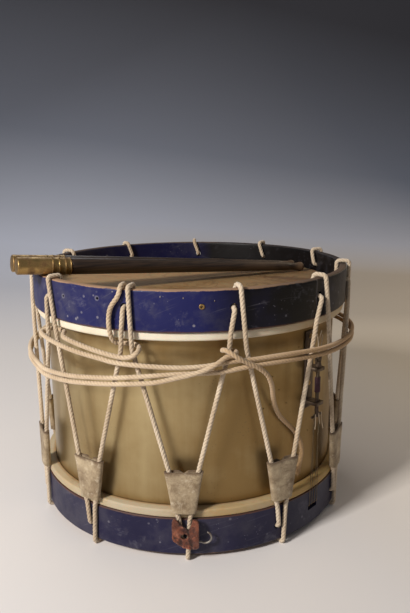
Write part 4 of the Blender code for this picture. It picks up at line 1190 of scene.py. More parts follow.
@dataclass
class Counterhoop(Assembly):
    """A bent wooden hoop with its lacing holes, rounded rim and lap seam."""

    end: End
    name: str
    face: float
    rim: float
    seam: float
    cuts: tuple[Spot, ...] = ()
    steps: int = 352
    foot_round: float = 0.0006
    grain_depth: float = 0.00016
    grain_size: float = 0.012
    seam_gap: float = 0.0007
    seam_depth: float = 0.0024
    seam_step: float = 0.0006
    seam_run: float = 70.0

    def build(self) -> None:
        """Lays the hoop on the bench."""
        bm = spun(self._profile(), self.steps)
        self._lap(bm)
        cutters = bmesh.new()
        first = SIZES.phase + (0.0 if self.end is End.BATTER else SIZES.cell / 2)
        middle = self.face - SIZES.hoop_wall / 2
        height = self.rim - self.end.value * SIZES.hole_depth
        for hole in range(SIZES.holes):
            angle = first + hole * SIZES.cell - degrees_for(SIZES.strand, self.face)
            drill(SIZES.hole, 3 * SIZES.hoop_wall, facing(angle, middle, height), cutters)
        for angle, place, radius in self.cuts:
            drill(radius, 3 * SIZES.hoop_wall, facing(angle, middle, place), cutters, 14)
        slit = facing(self.seam, self.face, self.rim - self.end.value * SIZES.hoop_height / 2)
        block((self.seam_gap, self.seam_depth, 2 * SIZES.hoop_height), slit, cutters)
        if self.end is End.SNARE:
            gate = facing(SnareGear.angle, middle, SIZES.snare - SnareGear.gate_height / 2)
            block((SnareGear.gate_width, 3 * SIZES.hoop_wall, SnareGear.gate_height), gate, cutters)
        bm = bored(bm, cutters)
        roughened(bm, self.grain_depth, self.grain_size, 3.0 + self.end.value)
        finish = "upper_paint" if self.end is End.BATTER else "lower_paint"
        self.bench.lay(f"{self.name}_painted", bm, finish, "drum", [self.name], "blue_paint", 32.0)

    def _profile(self) -> list[Point]:
        """The hoop's section, round at the rim and eased at its edge on the flesh hoop.

        Returns:
            The section's (radius, height) points.
        """
        way, edge, small = self.end.value, SIZES.hoop_edge, self.foot_round
        inner, outer, rim = self.face - SIZES.hoop_wall, self.face, self.rim
        foot = rim - way * SIZES.hoop_height
        outline = [(inner, foot + way * small), (inner + small, foot), (outer - small, foot),
                   (outer, foot + way * small)]
        outline += between((outer, foot + way * small), (outer, rim - way * edge), 10)
        outline += arc((outer - edge, rim - way * edge), edge, 0, 90 * way, 5)
        outline += arc((inner + edge, rim - way * edge), edge, 90 * way, 180 * way, 5)
        outline += between((inner, rim - way * edge), (inner, foot + way * small), 10)
        return outline

    def _lap(self, bm: Mesh) -> None:
        """Lets the wood's outer end stand a little proud of the lap that it tapers over.

        Args:
            bm: The mesh, which is changed.
        """
        for vert in bm.verts:
            angle = math.degrees(math.atan2(vert.co.x, -vert.co.y))
            past = (angle - self.seam) % 360.0
            if past < self.seam_run:
                out = level_out(vert.co)
                depth = (out.length - self.face + SIZES.hoop_wall) / SIZES.hoop_wall
                vert.co -= out.normalized() * depth * self.seam_step * (1 - past / self.seam_run)


@dataclass
class SkinHead(Assembly):
    """A calfskin with its rim lapped in small pleats round the flesh hoop."""

    end: End
    name: str
    face: float
    edge: float
    steps: int = 396
    corner: float = 0.0016
    tuck: float = 0.006
    pleat: float = 0.00032
    swell: float = 0.0002

    def build(self) -> None:
        """Lays the skin on the bench."""
        way, half = self.end.value, SIZES.skin / 2
        face = self.face - way * half
        near = self.edge - way * (SIZES.gap + half)
        far = self.edge - way * (SIZES.gap + SIZES.lap_height - half)
        corner, skirt, lap = self.corner, SIZES.skirt, SIZES.lap
        profile = [(0.0, face), *between((0.0, face), (skirt - corner, face), 16)]
        profile += arc((skirt - corner, face - way * corner), corner, 90 * way, 0, 5)
        profile += [(skirt, near + way * corner)]
        profile += [(skirt, near), (skirt + corner, near)]
        profile += arc((lap - corner, near - way * corner), corner, 90 * way, 0, 5)
        profile += between((lap, near - way * corner), (lap, far + way * corner), 4)
        profile += arc((lap - corner, far + way * corner), corner, 0, -90 * way, 5)
        profile += [(skirt, far), (skirt, far + way * self.tuck)]
        bm = spun(profile, self.steps, closed=False)
        self._pleat(bm)
        piece = self.bench.lay(f"{self.name}_skin", bm, "skin", "drum", [self.name], "calfskin", 50.0)
        walled(piece, SIZES.skin, 0.0)

    def _pleat(self, bm: Mesh) -> None:
        """Draws the lapped rim in and out, and waves the played face very slightly.

        Args:
            bm: The mesh, which is changed.
        """
        for vert in bm.verts:
            out = level_out(vert.co)
            if out.length > SIZES.lap - self.corner:
                turn = math.atan2(vert.co.x, -vert.co.y)
                pleat = noise.noise(Vector((math.cos(turn) * 24, math.sin(turn) * 24, vert.co.z * 60)))
                fine = noise.noise(Vector((math.cos(turn) * 90, math.sin(turn) * 90, vert.co.z * 200)))
                vert.co += out.normalized() * self.pleat * (0.6 * pleat + 0.4 * fine - 0.4)
            elif out.length < SIZES.skirt - 0.01:
                vert.co.z += self.swell * noise.noise(vert.co * 11)


# Lacing and ears

@dataclass
class Lacing(Assembly):
    """The lacing rope: eleven lengths, each from rim to rim through an ear."""

    lay: Lay = Lay(0.00272, 0.0014, 18, 3, 0.0138, 0.17)
    waist_drop: float = 0.063
    ear_length: float = 0.047
    ear_foot_spread: float = 0.0082
    ear_head_spread: float = 0.0156
    pinched: dict[tuple[int, int], float] = field(default_factory=lambda: {
        (9, -1): 0.0045, (10, -1): 0.0068, (10, 1): 0.0056, (0, -1): 0.0090, (0, 1): 0.0098,
    })

    @property
    def ear_foot(self) -> float:
        """The height of an ear's foot, on the lower head's lap."""
        return SIZES.lower_edge + SIZES.lap_height + 2 * SIZES.gap

    @property
    def ear_radius(self) -> float:
        """The radius of the strands in an ear."""
        return SIZES.lower_face + SIZES.lean

    def _bend(self, radius: float, height: float, start: float, end: float) -> list[Point]:
        """Two places on the way round a hoop's corner, between two directions.

        Args:
            radius: The corner's radius from the drum's axis.
            height: Its height.
            start: The direction of the rope from the corner at first, in degrees.
            end: Its direction at last.

        Returns:
            The (radius, height) places.
        """
        reach = SIZES.lean / math.cos(math.radians(HALF_CORNER))
        turn = math.copysign(HALF_CORNER, end - start)
        return arc((radius, height), reach, start + turn, end - turn, 1)

    def _waist(self, index: int, side: int) -> float:
        """How far a strand is from the middle of its pair where the spare rope draws it in.

        Args:
            index: The number of the pair's upper hole.
            side: 1 for the strand that goes right, -1 for the other.

        Returns:
            The distance.
        """
        across = math.radians(SIZES.cell / 2) * SIZES.upper_face - SIZES.strand - self.ear_head_spread
        slope = across / (SIZES.upper_rim - self.ear_foot - self.ear_length)
        return self.pinched.get((index % SIZES.holes, side), SIZES.strand + self.waist_drop * slope)

    def _strand(self, index: int, foot: float, side: int) -> list[Spot]:
        """The free strand from an upper hole's pair down to an ear, side 1 for the one that goes right.

        Args:
            index: The number of the strand's upper hole.
            foot: The ear's angle.
            side: 1 for the strand that goes right, -1 for the other.

        Returns:
            The (angle, radius, height) places, from the top.
        """
        top = foot - side * SIZES.cell / 2
        outer, inner = SIZES.upper_face + SIZES.lean, self.ear_radius
        hitch = self._waist(index, side)
        edge = SIZES.strand + (hitch - SIZES.strand) * SIZES.hoop_height / self.waist_drop
        head = self.ear_foot + self.ear_length
        middle = (self.ear_foot_spread + SIZES.strand) / 2
        return [
            (top + side * degrees_for(edge, outer), outer, SIZES.upper_edge),
            (top + side * degrees_for(hitch, outer), outer - SIZES.gap, SIZES.upper_rim - self.waist_drop),
            (foot - side * degrees_for(self.ear_head_spread, inner), inner + SIZES.gap, head),
            (foot - side * degrees_for(self.ear_foot_spread, inner), inner, self.ear_foot),
            (foot - side * degrees_for(middle, inner), inner, SIZES.lower_edge),
        ]

    def _route(self, index: int) -> list[Vector]:
        """One length of lacing from the middle of a bight over the upper rim to the next.

        Args:
            index: The length's number, from 0.

        Returns:
            Its points.
        """
        top = SIZES.phase + index * SIZES.cell
        foot, following = top + SIZES.cell / 2, top + SIZES.cell
        high = degrees_for(SIZES.strand, SIZES.upper_face)
        low = degrees_for(SIZES.strand, SIZES.lower_face)
        face, back = SIZES.upper_face, SIZES.upper_face - SIZES.hoop_wall
        under, behind = SIZES.lower_face, SIZES.lower_face - SIZES.hoop_wall
        high_hole, low_hole = SIZES.upper_rim - SIZES.hole_depth, SIZES.lower_rim + SIZES.hole_depth
        slack = SIZES.hole
        places = [(top + high, (face + back) / 2, SIZES.upper_rim + SIZES.lean)]
        places += [(top + high, *spot) for spot in self._bend(face, SIZES.upper_rim, 90, 0)]
        places += self._strand(index, foot, 1)
        places += [(foot - low, *spot) for spot in self._bend(under, low_hole + slack, 0, -90)]
        places += [(foot - low, *spot) for spot in self._bend(behind, low_hole - slack, 90, 180)]
        places += [(foot + low, *spot) for spot in self._bend(behind, SIZES.lower_rim, 180, 270)]
        places += [(foot + low, *spot) for spot in self._bend(under, SIZES.lower_rim, 270, 360)]
        places += reversed(self._strand(index + 1, foot, -1))
        places += [(following - high, *spot) for spot in self._bend(face, high_hole - slack, 0, 90)]
        places += [(following - high, *spot) for spot in self._bend(back, high_hole + slack, 270, 180)]
        places += [(following + high, *spot) for spot in self._bend(back, SIZES.upper_rim, 180, 90)]
        places.append((following + high, (face + back) / 2, SIZES.upper_rim + SIZES.lean))
        return [polar(*place) for place in places]

    def build(self) -> None:
        """Lays the eleven lengths on the bench, each cut in its ear into the strands and the bight."""
        for index in range(SIZES.holes):
            self._build_length(index)

    def _build_length(self, index: int) -> None:
        """Lays one length, cut into its strands above the ear and its bight below it.

        Args:
            index: The length's number, from 0.
        """
        label = f"{index + 1:02d}"
        route = relaxed(evenly(self._route(index), self.lay.step), 3)
        length = self.lay.step * (len(route) - 1)
        frames = carried(route, UP, self.lay.turns(length), UP)
        inside = self.ear_foot + 0.35 * self.ear_length
        low = [number for number, point in enumerate(route) if point.z < inside]
        foot = polar(SIZES.phase + (index + 0.5) * SIZES.cell, self.ear_radius, 0.0)
        head = self.ear_foot + self.ear_length
        strands, bight = bmesh.new(), bmesh.new()
        swept(strands, frames[:low[0] + 1], self.lay)
        swept(strands, frames[low[-1]:], self.lay, low[-1] * self.lay.step)
        swept(bight, frames[low[0]:low[-1] + 1], self.lay, low[0] * self.lay.step)
        above = (foot + UP * SIZES.upper_edge, foot + UP * head)
        below = (foot + UP * SIZES.lower_edge, foot + UP * self.ear_foot)
        for name, mesh, nodes, bend in (("strands", strands, [f"tension_rope_{label}"], above),
                                        ("bight", bight, [], below)):
            self.bench.lay(f"lacing_{name}_{label}", mesh, "rope", f"ear_{label}", nodes, "rope", bend=bend)


@dataclass
class Ears(Assembly):
    """The leather ears: open sleeves, wide at the top, creased and notched at their seam."""

    lacing: Lacing
    wall: float = 0.0018
    play: float = 0.0004
    columns: int = 56
    levels: int = 12
    squareness: float = 0.66
    pinch: float = 0.22
    flare: float = 0.03
    crease: float = 0.00022
    notch: float = 0.0035
    notch_width: float = 0.0016
    edge_round: float = 0.00035

    def build(self) -> None:
        """Lays the eleven ears on the bench."""
        for index in range(SIZES.holes):
            bm = self._sleeve(index)
            name = f"ear_{index + 1:02d}"
            piece = self.bench.lay(f"{name}_leather", bm, "buff", name, [name], "buff_leather", 60.0)
            walled(piece, self.wall, -1.0)
            edge = piece.modifiers.new("edges", "BEVEL")
            edge.width = self.edge_round
            edge.segments = 2
            edge.limit_method = "ANGLE"

    def _sleeve(self, index: int) -> Mesh:
        """One ear's outer face, with its own creases.

        Args:
            index: The ear's number, from 0.

        Returns:
            Its outer face, open at both ends.
        """
        lacing = self.lacing
        half_depth = SIZES.rope + self.play + self.wall
        place = facing(SIZES.phase + (index + 0.5) * SIZES.cell, lacing.ear_radius, lacing.ear_foot)
        bm = bmesh.new()
        bmesh.ops.create_grid(bm, x_segments=self.columns, y_segments=self.levels, size=0.5)
        for vert in bm.verts:
            column, share = round((vert.co.x + 0.5) * self.columns), vert.co.y + 0.5
            spread = lacing.ear_foot_spread + (lacing.ear_head_spread - lacing.ear_foot_spread) * share
            vert.co = self._spot(column % self.columns, share, spread + half_depth, half_depth, index)
        bmesh.ops.remove_doubles(bm, verts=bm.verts, dist=0.000001)
        moved(bm, place)
        bmesh.ops.recalc_face_normals(bm, faces=bm.faces)
        return bm

    def _spot(self, column: int, share: float, half_width: float, half_depth: float, index: int) -> Vector:
        """A point of an ear's face in its own frame.

        Args:
            column: The point's column, round the ear.
            share: Its share of the way up the ear.
            half_width: Half the ear's width there.
            half_depth: Half its depth there.
            index: The ear's number, from 0.

        Returns:
            The point.
        """
        turn = math.tau * column / self.columns
        across = math.copysign(abs(math.cos(turn)) ** self.squareness, math.cos(turn))
        depth = math.copysign(abs(math.sin(turn)) ** self.squareness, math.sin(turn))
        hollow = self.pinch * share * (1.0 - across * across)
        flare = 1.0 + self.flare * share ** 4
        spot = Vector((across * half_width * flare, depth * half_depth * (1.0 - hollow),
                       share * self.lacing.ear_length))
        seed = Vector((index * 7.1, index * 3.3, 0.0))
        crease = noise.noise(spot / 0.008 + seed) + 0.6 * noise.noise(spot / 0.0035 + seed)
        spot += Vector((0.0, math.copysign(self.crease, depth) * crease, 0.0))
        ragged = noise.noise(Vector((across * 5.0, depth * 2.0, index * 5.7)))
        spot.z += 0.0010 * ragged * share ** 3 - 0.0006 * abs(ragged) * (1.0 - share) ** 3 + 0.0006 * share
        if depth > 0.0 and share > 0.8:
            spot.z -= self.notch * math.exp(-(spot.x / self.notch_width) ** 2)
        return spot


# Spare rope

@dataclass
class SpareRope(Assembly):
    """The spare rope: over the rim, hitched round two pairs, twice round, knotted and frayed."""

    lay: Lay = Lay(0.00272, 0.0013, 18, 3, 0.0132, 0.17)
    diameter: float = 0.0055
    back_steps: int = 13
    fibres: int = 46
    fray: float = 0.013

    def _places(self) -> list[Spot]:
        """The route's places as (angle, radius in mm, height in mm).

        Returns:
            The places, from the end inside the rim to the frayed one.
        """
        lean = 3.05
        over = 1000 * SIZES.upper_rim + lean
        inside = 190.014 - lean
        outside = 199.490 + lean
        start = [
            (-22.1, inside, 291.5), (-21.2, inside, 299.5), (-20.8, inside + 0.7, 303.8),
            (-20.5, inside + 3.4, over), (-20.3, inside + 7.6, over + 0.5), (-20.2, outside - 3.4, over),
            (-20.2, outside - 0.4, 303.8), (-20.4, outside + 0.5, 299.5), (-21.2, outside + 0.9, 294.0),
            (-22.4, outside + 1.2, 288.5), (-23.4, outside + 1.6, 281.5), (-23.9, outside + 1.6, 271.0),
            (-23.8, 203.9, 261.0), (-23.6, 201.8, 252.2), (-22.9, 197.8, 246.2), (-21.5, 193.6, 244.4),
            (-19.0, 191.6, 244.2), (-16.5, 193.4, 243.8), (-14.9, 200.2, 242.8), (-14.8, 206.6, 240.2),
            (-16.0, 209.6, 236.4), (-18.2, 209.4, 234.2),
        ]
        first_hitch = [
            (-20.9, 208.9, 234.1), (-26.7, 208.6, 236.8), (-34.2, 208.4, 241.0), (-40.6, 207.2, 244.2),
            (-43.6, 201.6, 245.0), (-46.0, 194.6, 245.0), (-49.0, 191.8, 244.8), (-52.2, 193.2, 244.4),
            (-54.4, 197.6, 243.8), (-55.3, 203.2, 242.8), (-54.2, 208.2, 241.6), (-51.4, 209.8, 240.0),
        ]
        first_turn = [
            (-46.8, 209.4, 237.4), (-40.5, 209.0, 234.6), (-34.2, 208.8, 232.2), (-26.8, 208.7, 229.8),
            (-20.8, 208.9, 227.2), (-11.0, 208.9, 226.4), (-2.4, 208.7, 225.8), (4.7, 208.5, 227.0),
            (9.5, 208.9, 229.8), (13.4, 209.0, 231.0), (17.9, 209.0, 230.6), (24.3, 208.7, 231.0),
            (31.4, 208.7, 230.4), (39.7, 208.8, 228.5), (48.6, 208.9, 226.6), (58.4, 209.0, 225.4),
            (69.9, 209.1, 224.4), (85.0, 209.3, 223.0),
        ]
        second_turn = [
            (-57.0, 208.8, 200.6), (-50.0, 208.7, 199.8), (-39.0, 208.5, 203.0), (-27.0, 208.5, 208.4),
            (-20.0, 208.4, 211.6), (-11.0, 208.4, 216.0), (-2.4, 208.4, 219.0), (4.7, 208.5, 219.8),
            (10.4, 208.8, 220.8), (17.9, 208.9, 223.8), (24.3, 208.8, 224.4), (31.4, 208.6, 223.8),
            (39.7, 208.7, 222.0), (48.6, 208.8, 220.0), (58.4, 208.9, 218.8), (69.9, 209.0, 217.8),
            (85.0, 209.2, 216.4),
        ]
        third_pass = [
            (-57.0, 208.8, 194.2), (-50.0, 208.7, 193.2), (-39.0, 208.5, 196.4), (-27.0, 208.4, 201.6),
            (-20.0, 208.5, 204.6), (-14.0, 209.4, 207.4), (-9.0, 212.4, 211.0), (-4.5, 214.9, 216.0),
            (0.3, 215.6, 220.6), (4.4, 215.8, 225.6), (7.6, 214.8, 231.4),
        ]
        knot = [
            (10.0, 211.8, 236.1), (11.9, 210.3, 237.6), (13.2, 207.4, 238.4), (13.7, 202.8, 238.6),
            (13.3, 198.2, 238.5), (11.9, 195.9, 238.6), (10.3, 197.3, 239.6), (9.7, 202.3, 241.2),
            (9.7, 207.8, 243.0), (10.3, 212.7, 243.5), (11.5, 216.0, 241.1), (13.2, 217.2, 236.5),
        ]
        tail = [
            (15.6, 216.4, 230.8), (18.8, 215.4, 224.4), (22.0, 212.8, 214.6), (24.0, 208.6, 203.6),
            (25.6, 203.0, 192.0), (27.0, 197.2, 180.0), (28.8, 192.8, 167.0), (31.2, 190.6, 154.0),
            (34.9, 190.0, 141.0), (38.3, 190.0, 129.5), (41.1, 190.0, 116.0), (42.2, 190.2, 103.0),
            (41.7, 190.6, 93.0), (40.7, 191.0, 83.5),
        ]
        turns = first_turn + self._round_back(first_turn[-1], second_turn[0]) + second_turn
        turns += self._round_back(second_turn[-1], third_pass[0]) + third_pass
        return start + first_hitch + turns + knot + tail

    def _round_back(self, left_at: tuple[float, ...], comes_to: tuple[float, ...]) -> list[tuple[float, ...]]:
        """The places of a turn on the drum's far side, from one chosen place to the next.

        Args:
            left_at: The last place before the back.
            comes_to: The first place after it, a full turn on.

        Returns:
            The places.
        """
        start, end = Vector(left_at), Vector(comes_to) + Vector((360.0, 0.0, 0.0))
        return [tuple(start.lerp(end, step / self.back_steps)) for step in range(1, self.back_steps)]

    def build(self) -> None:
        places = [polar(angle, radius / 1000, height / 1000) for angle, radius, height in self._places()]
        route = evenly(smooth_route(places, 8), self.lay.step)
        length = sum((b - a).length for a, b in zip(route, route[1:]))
        frames = carried(route, UP, self.lay.turns(length))
        rope = bmesh.new()
        swept(rope, frames, self.lay)
        fray = self._fray(frames[-1])
        rope_piece = self.bench.lay("spare_rope_laid", rope, "spare_rope", "drum", ["spare_rope"], "rope")
        fray_piece = self.bench.lay("spare_rope_fray", fray, "spare_rope", "drum", (), "rope")
        shift = Vector(SIZES.axis)
        route[0] + shift
        [point + shift for point in route]

    def _fray(self, end: Matrix) -> Mesh:
        """The loosened yarns at the rope's end.

        Args:
            end: The frame at the rope's end, with Z along it.

        Returns:
            The yarns.
        """
        draw = random.Random(7)
        bm = bmesh.new()
        yarn = Lay(0.00030, 0.0015, 5)
        for _ in range(self.fibres):
            turn, reach = draw.uniform(0.0, math.tau), 0.0022 * math.sqrt(draw.random())
            out = Vector((math.cos(turn), math.sin(turn), 0.0))
            sway = Vector((draw.uniform(-1, 1), draw.uniform(-1, 1), 0.0)) * 0.0016
            length = self.fray * draw.uniform(0.55, 1.0)
            steps = [end @ (out * (reach * (1.0 + 1.3 * share)) + sway * share ** 2
                            + Vector((0.0, 0.0, length * share - 0.003 * (1.0 - share))))
                     for share in (0.0, 0.25, 0.5, 0.75, 1.0)]
            strung(bm, steps, end.col[0].to_3d(), yarn, taper=lambda share: 1.0 - 0.7 * share ** 3)
        return bm


# Snare strainer and gut

@dataclass
class SnareGear(Assembly):
    """The strainer on the shell, its rod and wing nut, and the gut that it draws up."""

    angle = SIZES.phase + SIZES.cell
    gate_width = 0.018
    gate_height = 0.006
    plate: float = SIZES.shell * FLAT_SHARE + SIZES.gap
    plate_wall: float = 0.002
    rod_reach: float = 0.0115
    rod: float = 0.00225
    rod_foot: float = 0.141
    rod_length: float = 0.076
    thread_pitch: float = 0.001
    upper_lug: float = 0.197
    lug: float = 0.004
    base: float = 0.150
    height: float = 0.092
    rivets: tuple[float, float] = (0.32, 0.93)
    gut: Lay = Lay(0.0006, 0.0012, 8, 2, 0.0026, 0.16)
    gut_pitch: float = 0.005
    strands: int = 4
    crossbar: float = 0.0015
    ends_below: tuple[Spot, ...] = (
        (-0.0062, -0.0022, 0.017), (0.0058, 0.0030, 0.021), (0.0004, 0.0012, 0.013))
    ends_above: tuple[Spot, ...] = (
        (-0.0030, 0.024, 0.0012), (0.0062, 0.026, -0.0030), (0.0085, 0.021, 0.0022))

    @property
    def axis_radius(self) -> float:
        """The radius of the rod's axis from the drum's."""
        return self.plate + self.plate_wall + self.rod_reach

    def build(self) -> None:
        """Lays the strainer, its rod, nut, rivets and gut on the bench."""
        plate = eased("strainer_bracket", 0.0004)
        self.bench.lay("strainer_plate", plate, "iron", "drum", ["strainer_bracket"], "dark_iron", 35.0)
        self._build_rod()
        self._build_nut()
        self._build_rivets()
        self._build_gut()
        self._build_whipping()

    def _build_rod(self) -> None:
        """The rod, threaded above its plain foot, with the crossbar that holds the gut."""
        core, ridge = self.rod - 0.0002, self.rod
        top = self.rod_length
        bm = spun([(0.0, 0.0), (ridge - 0.0004, 0.0), (ridge, 0.0004), (ridge, 0.012), (core, 0.0125),
                   (core, top - 0.0008), (core - 0.0007, top), (0.0, top)], 24, closed=False)
        start = 0.0126
        turns = round((top - 0.0012 - start) / self.thread_pitch)
        half = 0.42 * self.thread_pitch
        root = core - 0.0001
        section = [bm.verts.new((reach, 0.0, start + rise))
                   for reach, rise in ((root, 0.0), (ridge, half), (root, 2 * half))]
        edges = [bm.edges.new(pair) for pair in zip(section, section[1:] + section[:1])]
        steps = 16 * turns
        spiral = bmesh.ops.spin(bm, geom=section + edges, cent=(0, 0, 0), axis=(0, 0, 1),
                                dvec=(0, 0, self.thread_pitch / 16), angle=math.tau * turns, steps=steps)
        last = [item for item in spiral["geom_last"] if isinstance(item, bmesh.types.BMVert)]
        bmesh.ops.contextual_create(bm, geom=section)
        bmesh.ops.contextual_create(bm, geom=last)
        bar = Matrix.Translation((0.0, 0.0, self.crossbar)) @ Matrix.Rotation(math.radians(90), 4, "Z")
        drill(self.crossbar, 0.019, bar, bm, 16)
        bmesh.ops.recalc_face_normals(bm, faces=bm.faces)
        moved(bm, facing(self.angle, self.axis_radius, self.rod_foot))
        self.bench.lay("strainer_screw", bm, "iron", "strainer_rod", ["strainer_rod"], "dark_iron", 35.0)

    def _build_nut(self) -> None:
        """The wing nut: a turned hub with two raised, rounded wings."""
        hub = [(0.00255, 0.0003), (0.0029, 0.0), (0.0036, 0.0), (0.0038, 0.0004), (0.0038, 0.0022),
               (0.0033, 0.0048), (0.0031, 0.0068), (0.0029, 0.0070), (0.00255, 0.0068)]
        bm = spun(hub, 32)
        for side in (-1, 1):
            verts = block((0.0036, 0.0018, 0.0066), Matrix.Translation((side * 0.0044, 0.0, 0.0084)), bm)
            for vert in verts:
                if vert.co.z > 0.008:
                    vert.co.x += side * 0.0009
                    vert.co.y *= 0.8
                else:
                    vert.co.x -= side * 0.0007
            rims = list({edge for vert in verts for edge in vert.link_edges})
            rounded(bm, rims, 0.0007, 3)
        lift = self.upper_lug + self.lug + SIZES.gap
        moved(bm, facing(self.angle, self.axis_radius, lift))
        self.bench.lay("strainer_wing_nut", bm, "iron", "wing_nut", ["wing_nut"], "dark_iron", 35.0)

    def _build_rivets(self) -> None:
        """The domed rivets through plate and shell."""
        outer = self.plate + self.plate_wall + SIZES.gap
        grip = outer - (SIZES.shell - SIZES.wall) + 0.0012
        head, shank, dome = 0.0028, 0.0013, 0.001
        profile = [(0.0, dome), (head * 0.45, dome * 0.92), (head * 0.8, dome * 0.55), (head, 0.0),
                   (shank, 0.0), (shank, -grip), (head, -grip), (head * 0.8, -grip - dome * 0.55),
                   (head * 0.45, -grip - dome * 0.9), (0.0, -grip - dome)]
        for label, share in zip(("lower", "upper"), self.rivets):
            place = facing(self.angle, outer, self.base + share * self.height)
            bm = spun(profile, 24, closed=False)
            moved(bm, place @ OUTWARDS)
            node = f"strainer_rivet_{label}"
            self.bench.lay(f"rivet_{label}_dome", bm, "brass", "drum", [node], "aged_brass")

    def _gut_places(self) -> list[Spot]:
        """The gut line's places as (along the snares, across them, height).

        Returns:
            The places, strand by strand.
        """
        lean = self.gut.radius + SIZES.gap
        skirt = (SIZES.skirt + SIZES.skin / 2) * FLAT_SHARE
        face, back = SIZES.lower_face, SIZES.lower_face - SIZES.hoop_wall
        top = SIZES.lower_edge + SIZES.lap_height
        across = [(index - (self.strands - 1) / 2) * self.gut_pitch for index in range(self.strands)]
        reach = (self.crossbar + lean) / math.cos(math.radians(HALF_CORNER))
        places: list[Spot] = []
        for near, far in zip(across[::2], across[1::2]):
            end = [(-skirt - lean, SIZES.lower_edge - self.gut.radius), (-skirt - lean, SIZES.snare),
                   (-skirt, SIZES.snare - lean)]
            side = [(back, SIZES.snare - lean), (face, SIZES.snare - lean), (face + lean, SIZES.snare),
                    (face + lean, top)]
            over = arc((self.axis_radius, self.rod_foot + self.crossbar), reach, 0, 180, 4)
            places += [(x, near, z) for x, z in end + side]
            places += [(x, spot, z) for (x, z), spot in zip(over, (near, near, (near + far) / 2, far, far))]
            places += [(x, far, z) for x, z in reversed(end + side)]
        return places

    def _build_gut(self) -> None:
        """The gut line in its four strands, led over the rod's crossbar above the hoop."""
        turn = Matrix.Rotation(math.radians(self.angle - 90.0), 4, "Z")
        route = relaxed(evenly([turn @ Vector(place) for place in self._gut_places()], self.gut.step), 2)
        bm = bmesh.new()
        strung(bm, route, polar(self.angle, 1.0, 0.0), self.gut, self.gut.turns(self.gut.step * len(route)))
        foot = polar(self.angle, SIZES.lower_face, SIZES.lower_edge + 0.012)
        head = Vector((foot.x, foot.y, self.rod_foot - 0.004))
        self.bench.lay("snare_gut_line", bm, "gut", "strainer_rod", ["snare_gut"], "gut", bend=(foot, head))
        self._build_gut_ends()

    def _build_gut_ends(self) -> None:
        """The loose ends of the gut, three that hang from the crossbar and three that stand over the rod."""
        shares = [step / 5 for step in range(6)]
        low = facing(self.angle, self.axis_radius + 0.0026, self.rod_foot + 0.002)
        high = facing(self.angle, self.axis_radius, self.rod_foot + self.rod_length)
        lines = [[low @ Vector((spot + lean * share ** 2, -0.0012 * share, 0.003 - drop * share))
                  for share in shares] for spot, lean, drop in self.ends_below]
        lines += [[high @ Vector((lean * share + sway * math.sin(math.pi * share), 0.0008 * share,
                                  rise * share - 0.0006)) for share in shares]
                  for lean, rise, sway in self.ends_above]
        bm = bmesh.new()
        for line in lines:
            strung(bm, evenly(line, 0.001), Vector((1.0, 0.0, 0.0)), self.gut, 4.0)
        self.bench.lay("snare_gut_ends", bm, "rope", "strainer_rod", (), "gut")

    def _build_whipping(self) -> None:
        """The worn thread wound on the rod between the lugs."""
        bm = bmesh.new()
        turns, pitch, foot, steps = 18, 0.0010, 0.1712, 16
        coil = arc((0.0, 0.0), self.rod + 0.0006, 0, 360 * turns, steps * turns)
        place = facing(self.angle, self.axis_radius, foot)
        line = [place @ Vector((x, y, pitch * step / steps)) for step, (x, y) in enumerate(coil)]
        strung(bm, line, UP, Lay(0.00050, 0.001, 8))
        self.bench.lay("rod_whipping", bm, "whipping", "strainer_rod", (), "red_leather")


# Belt tab, hook, eyelet and nails

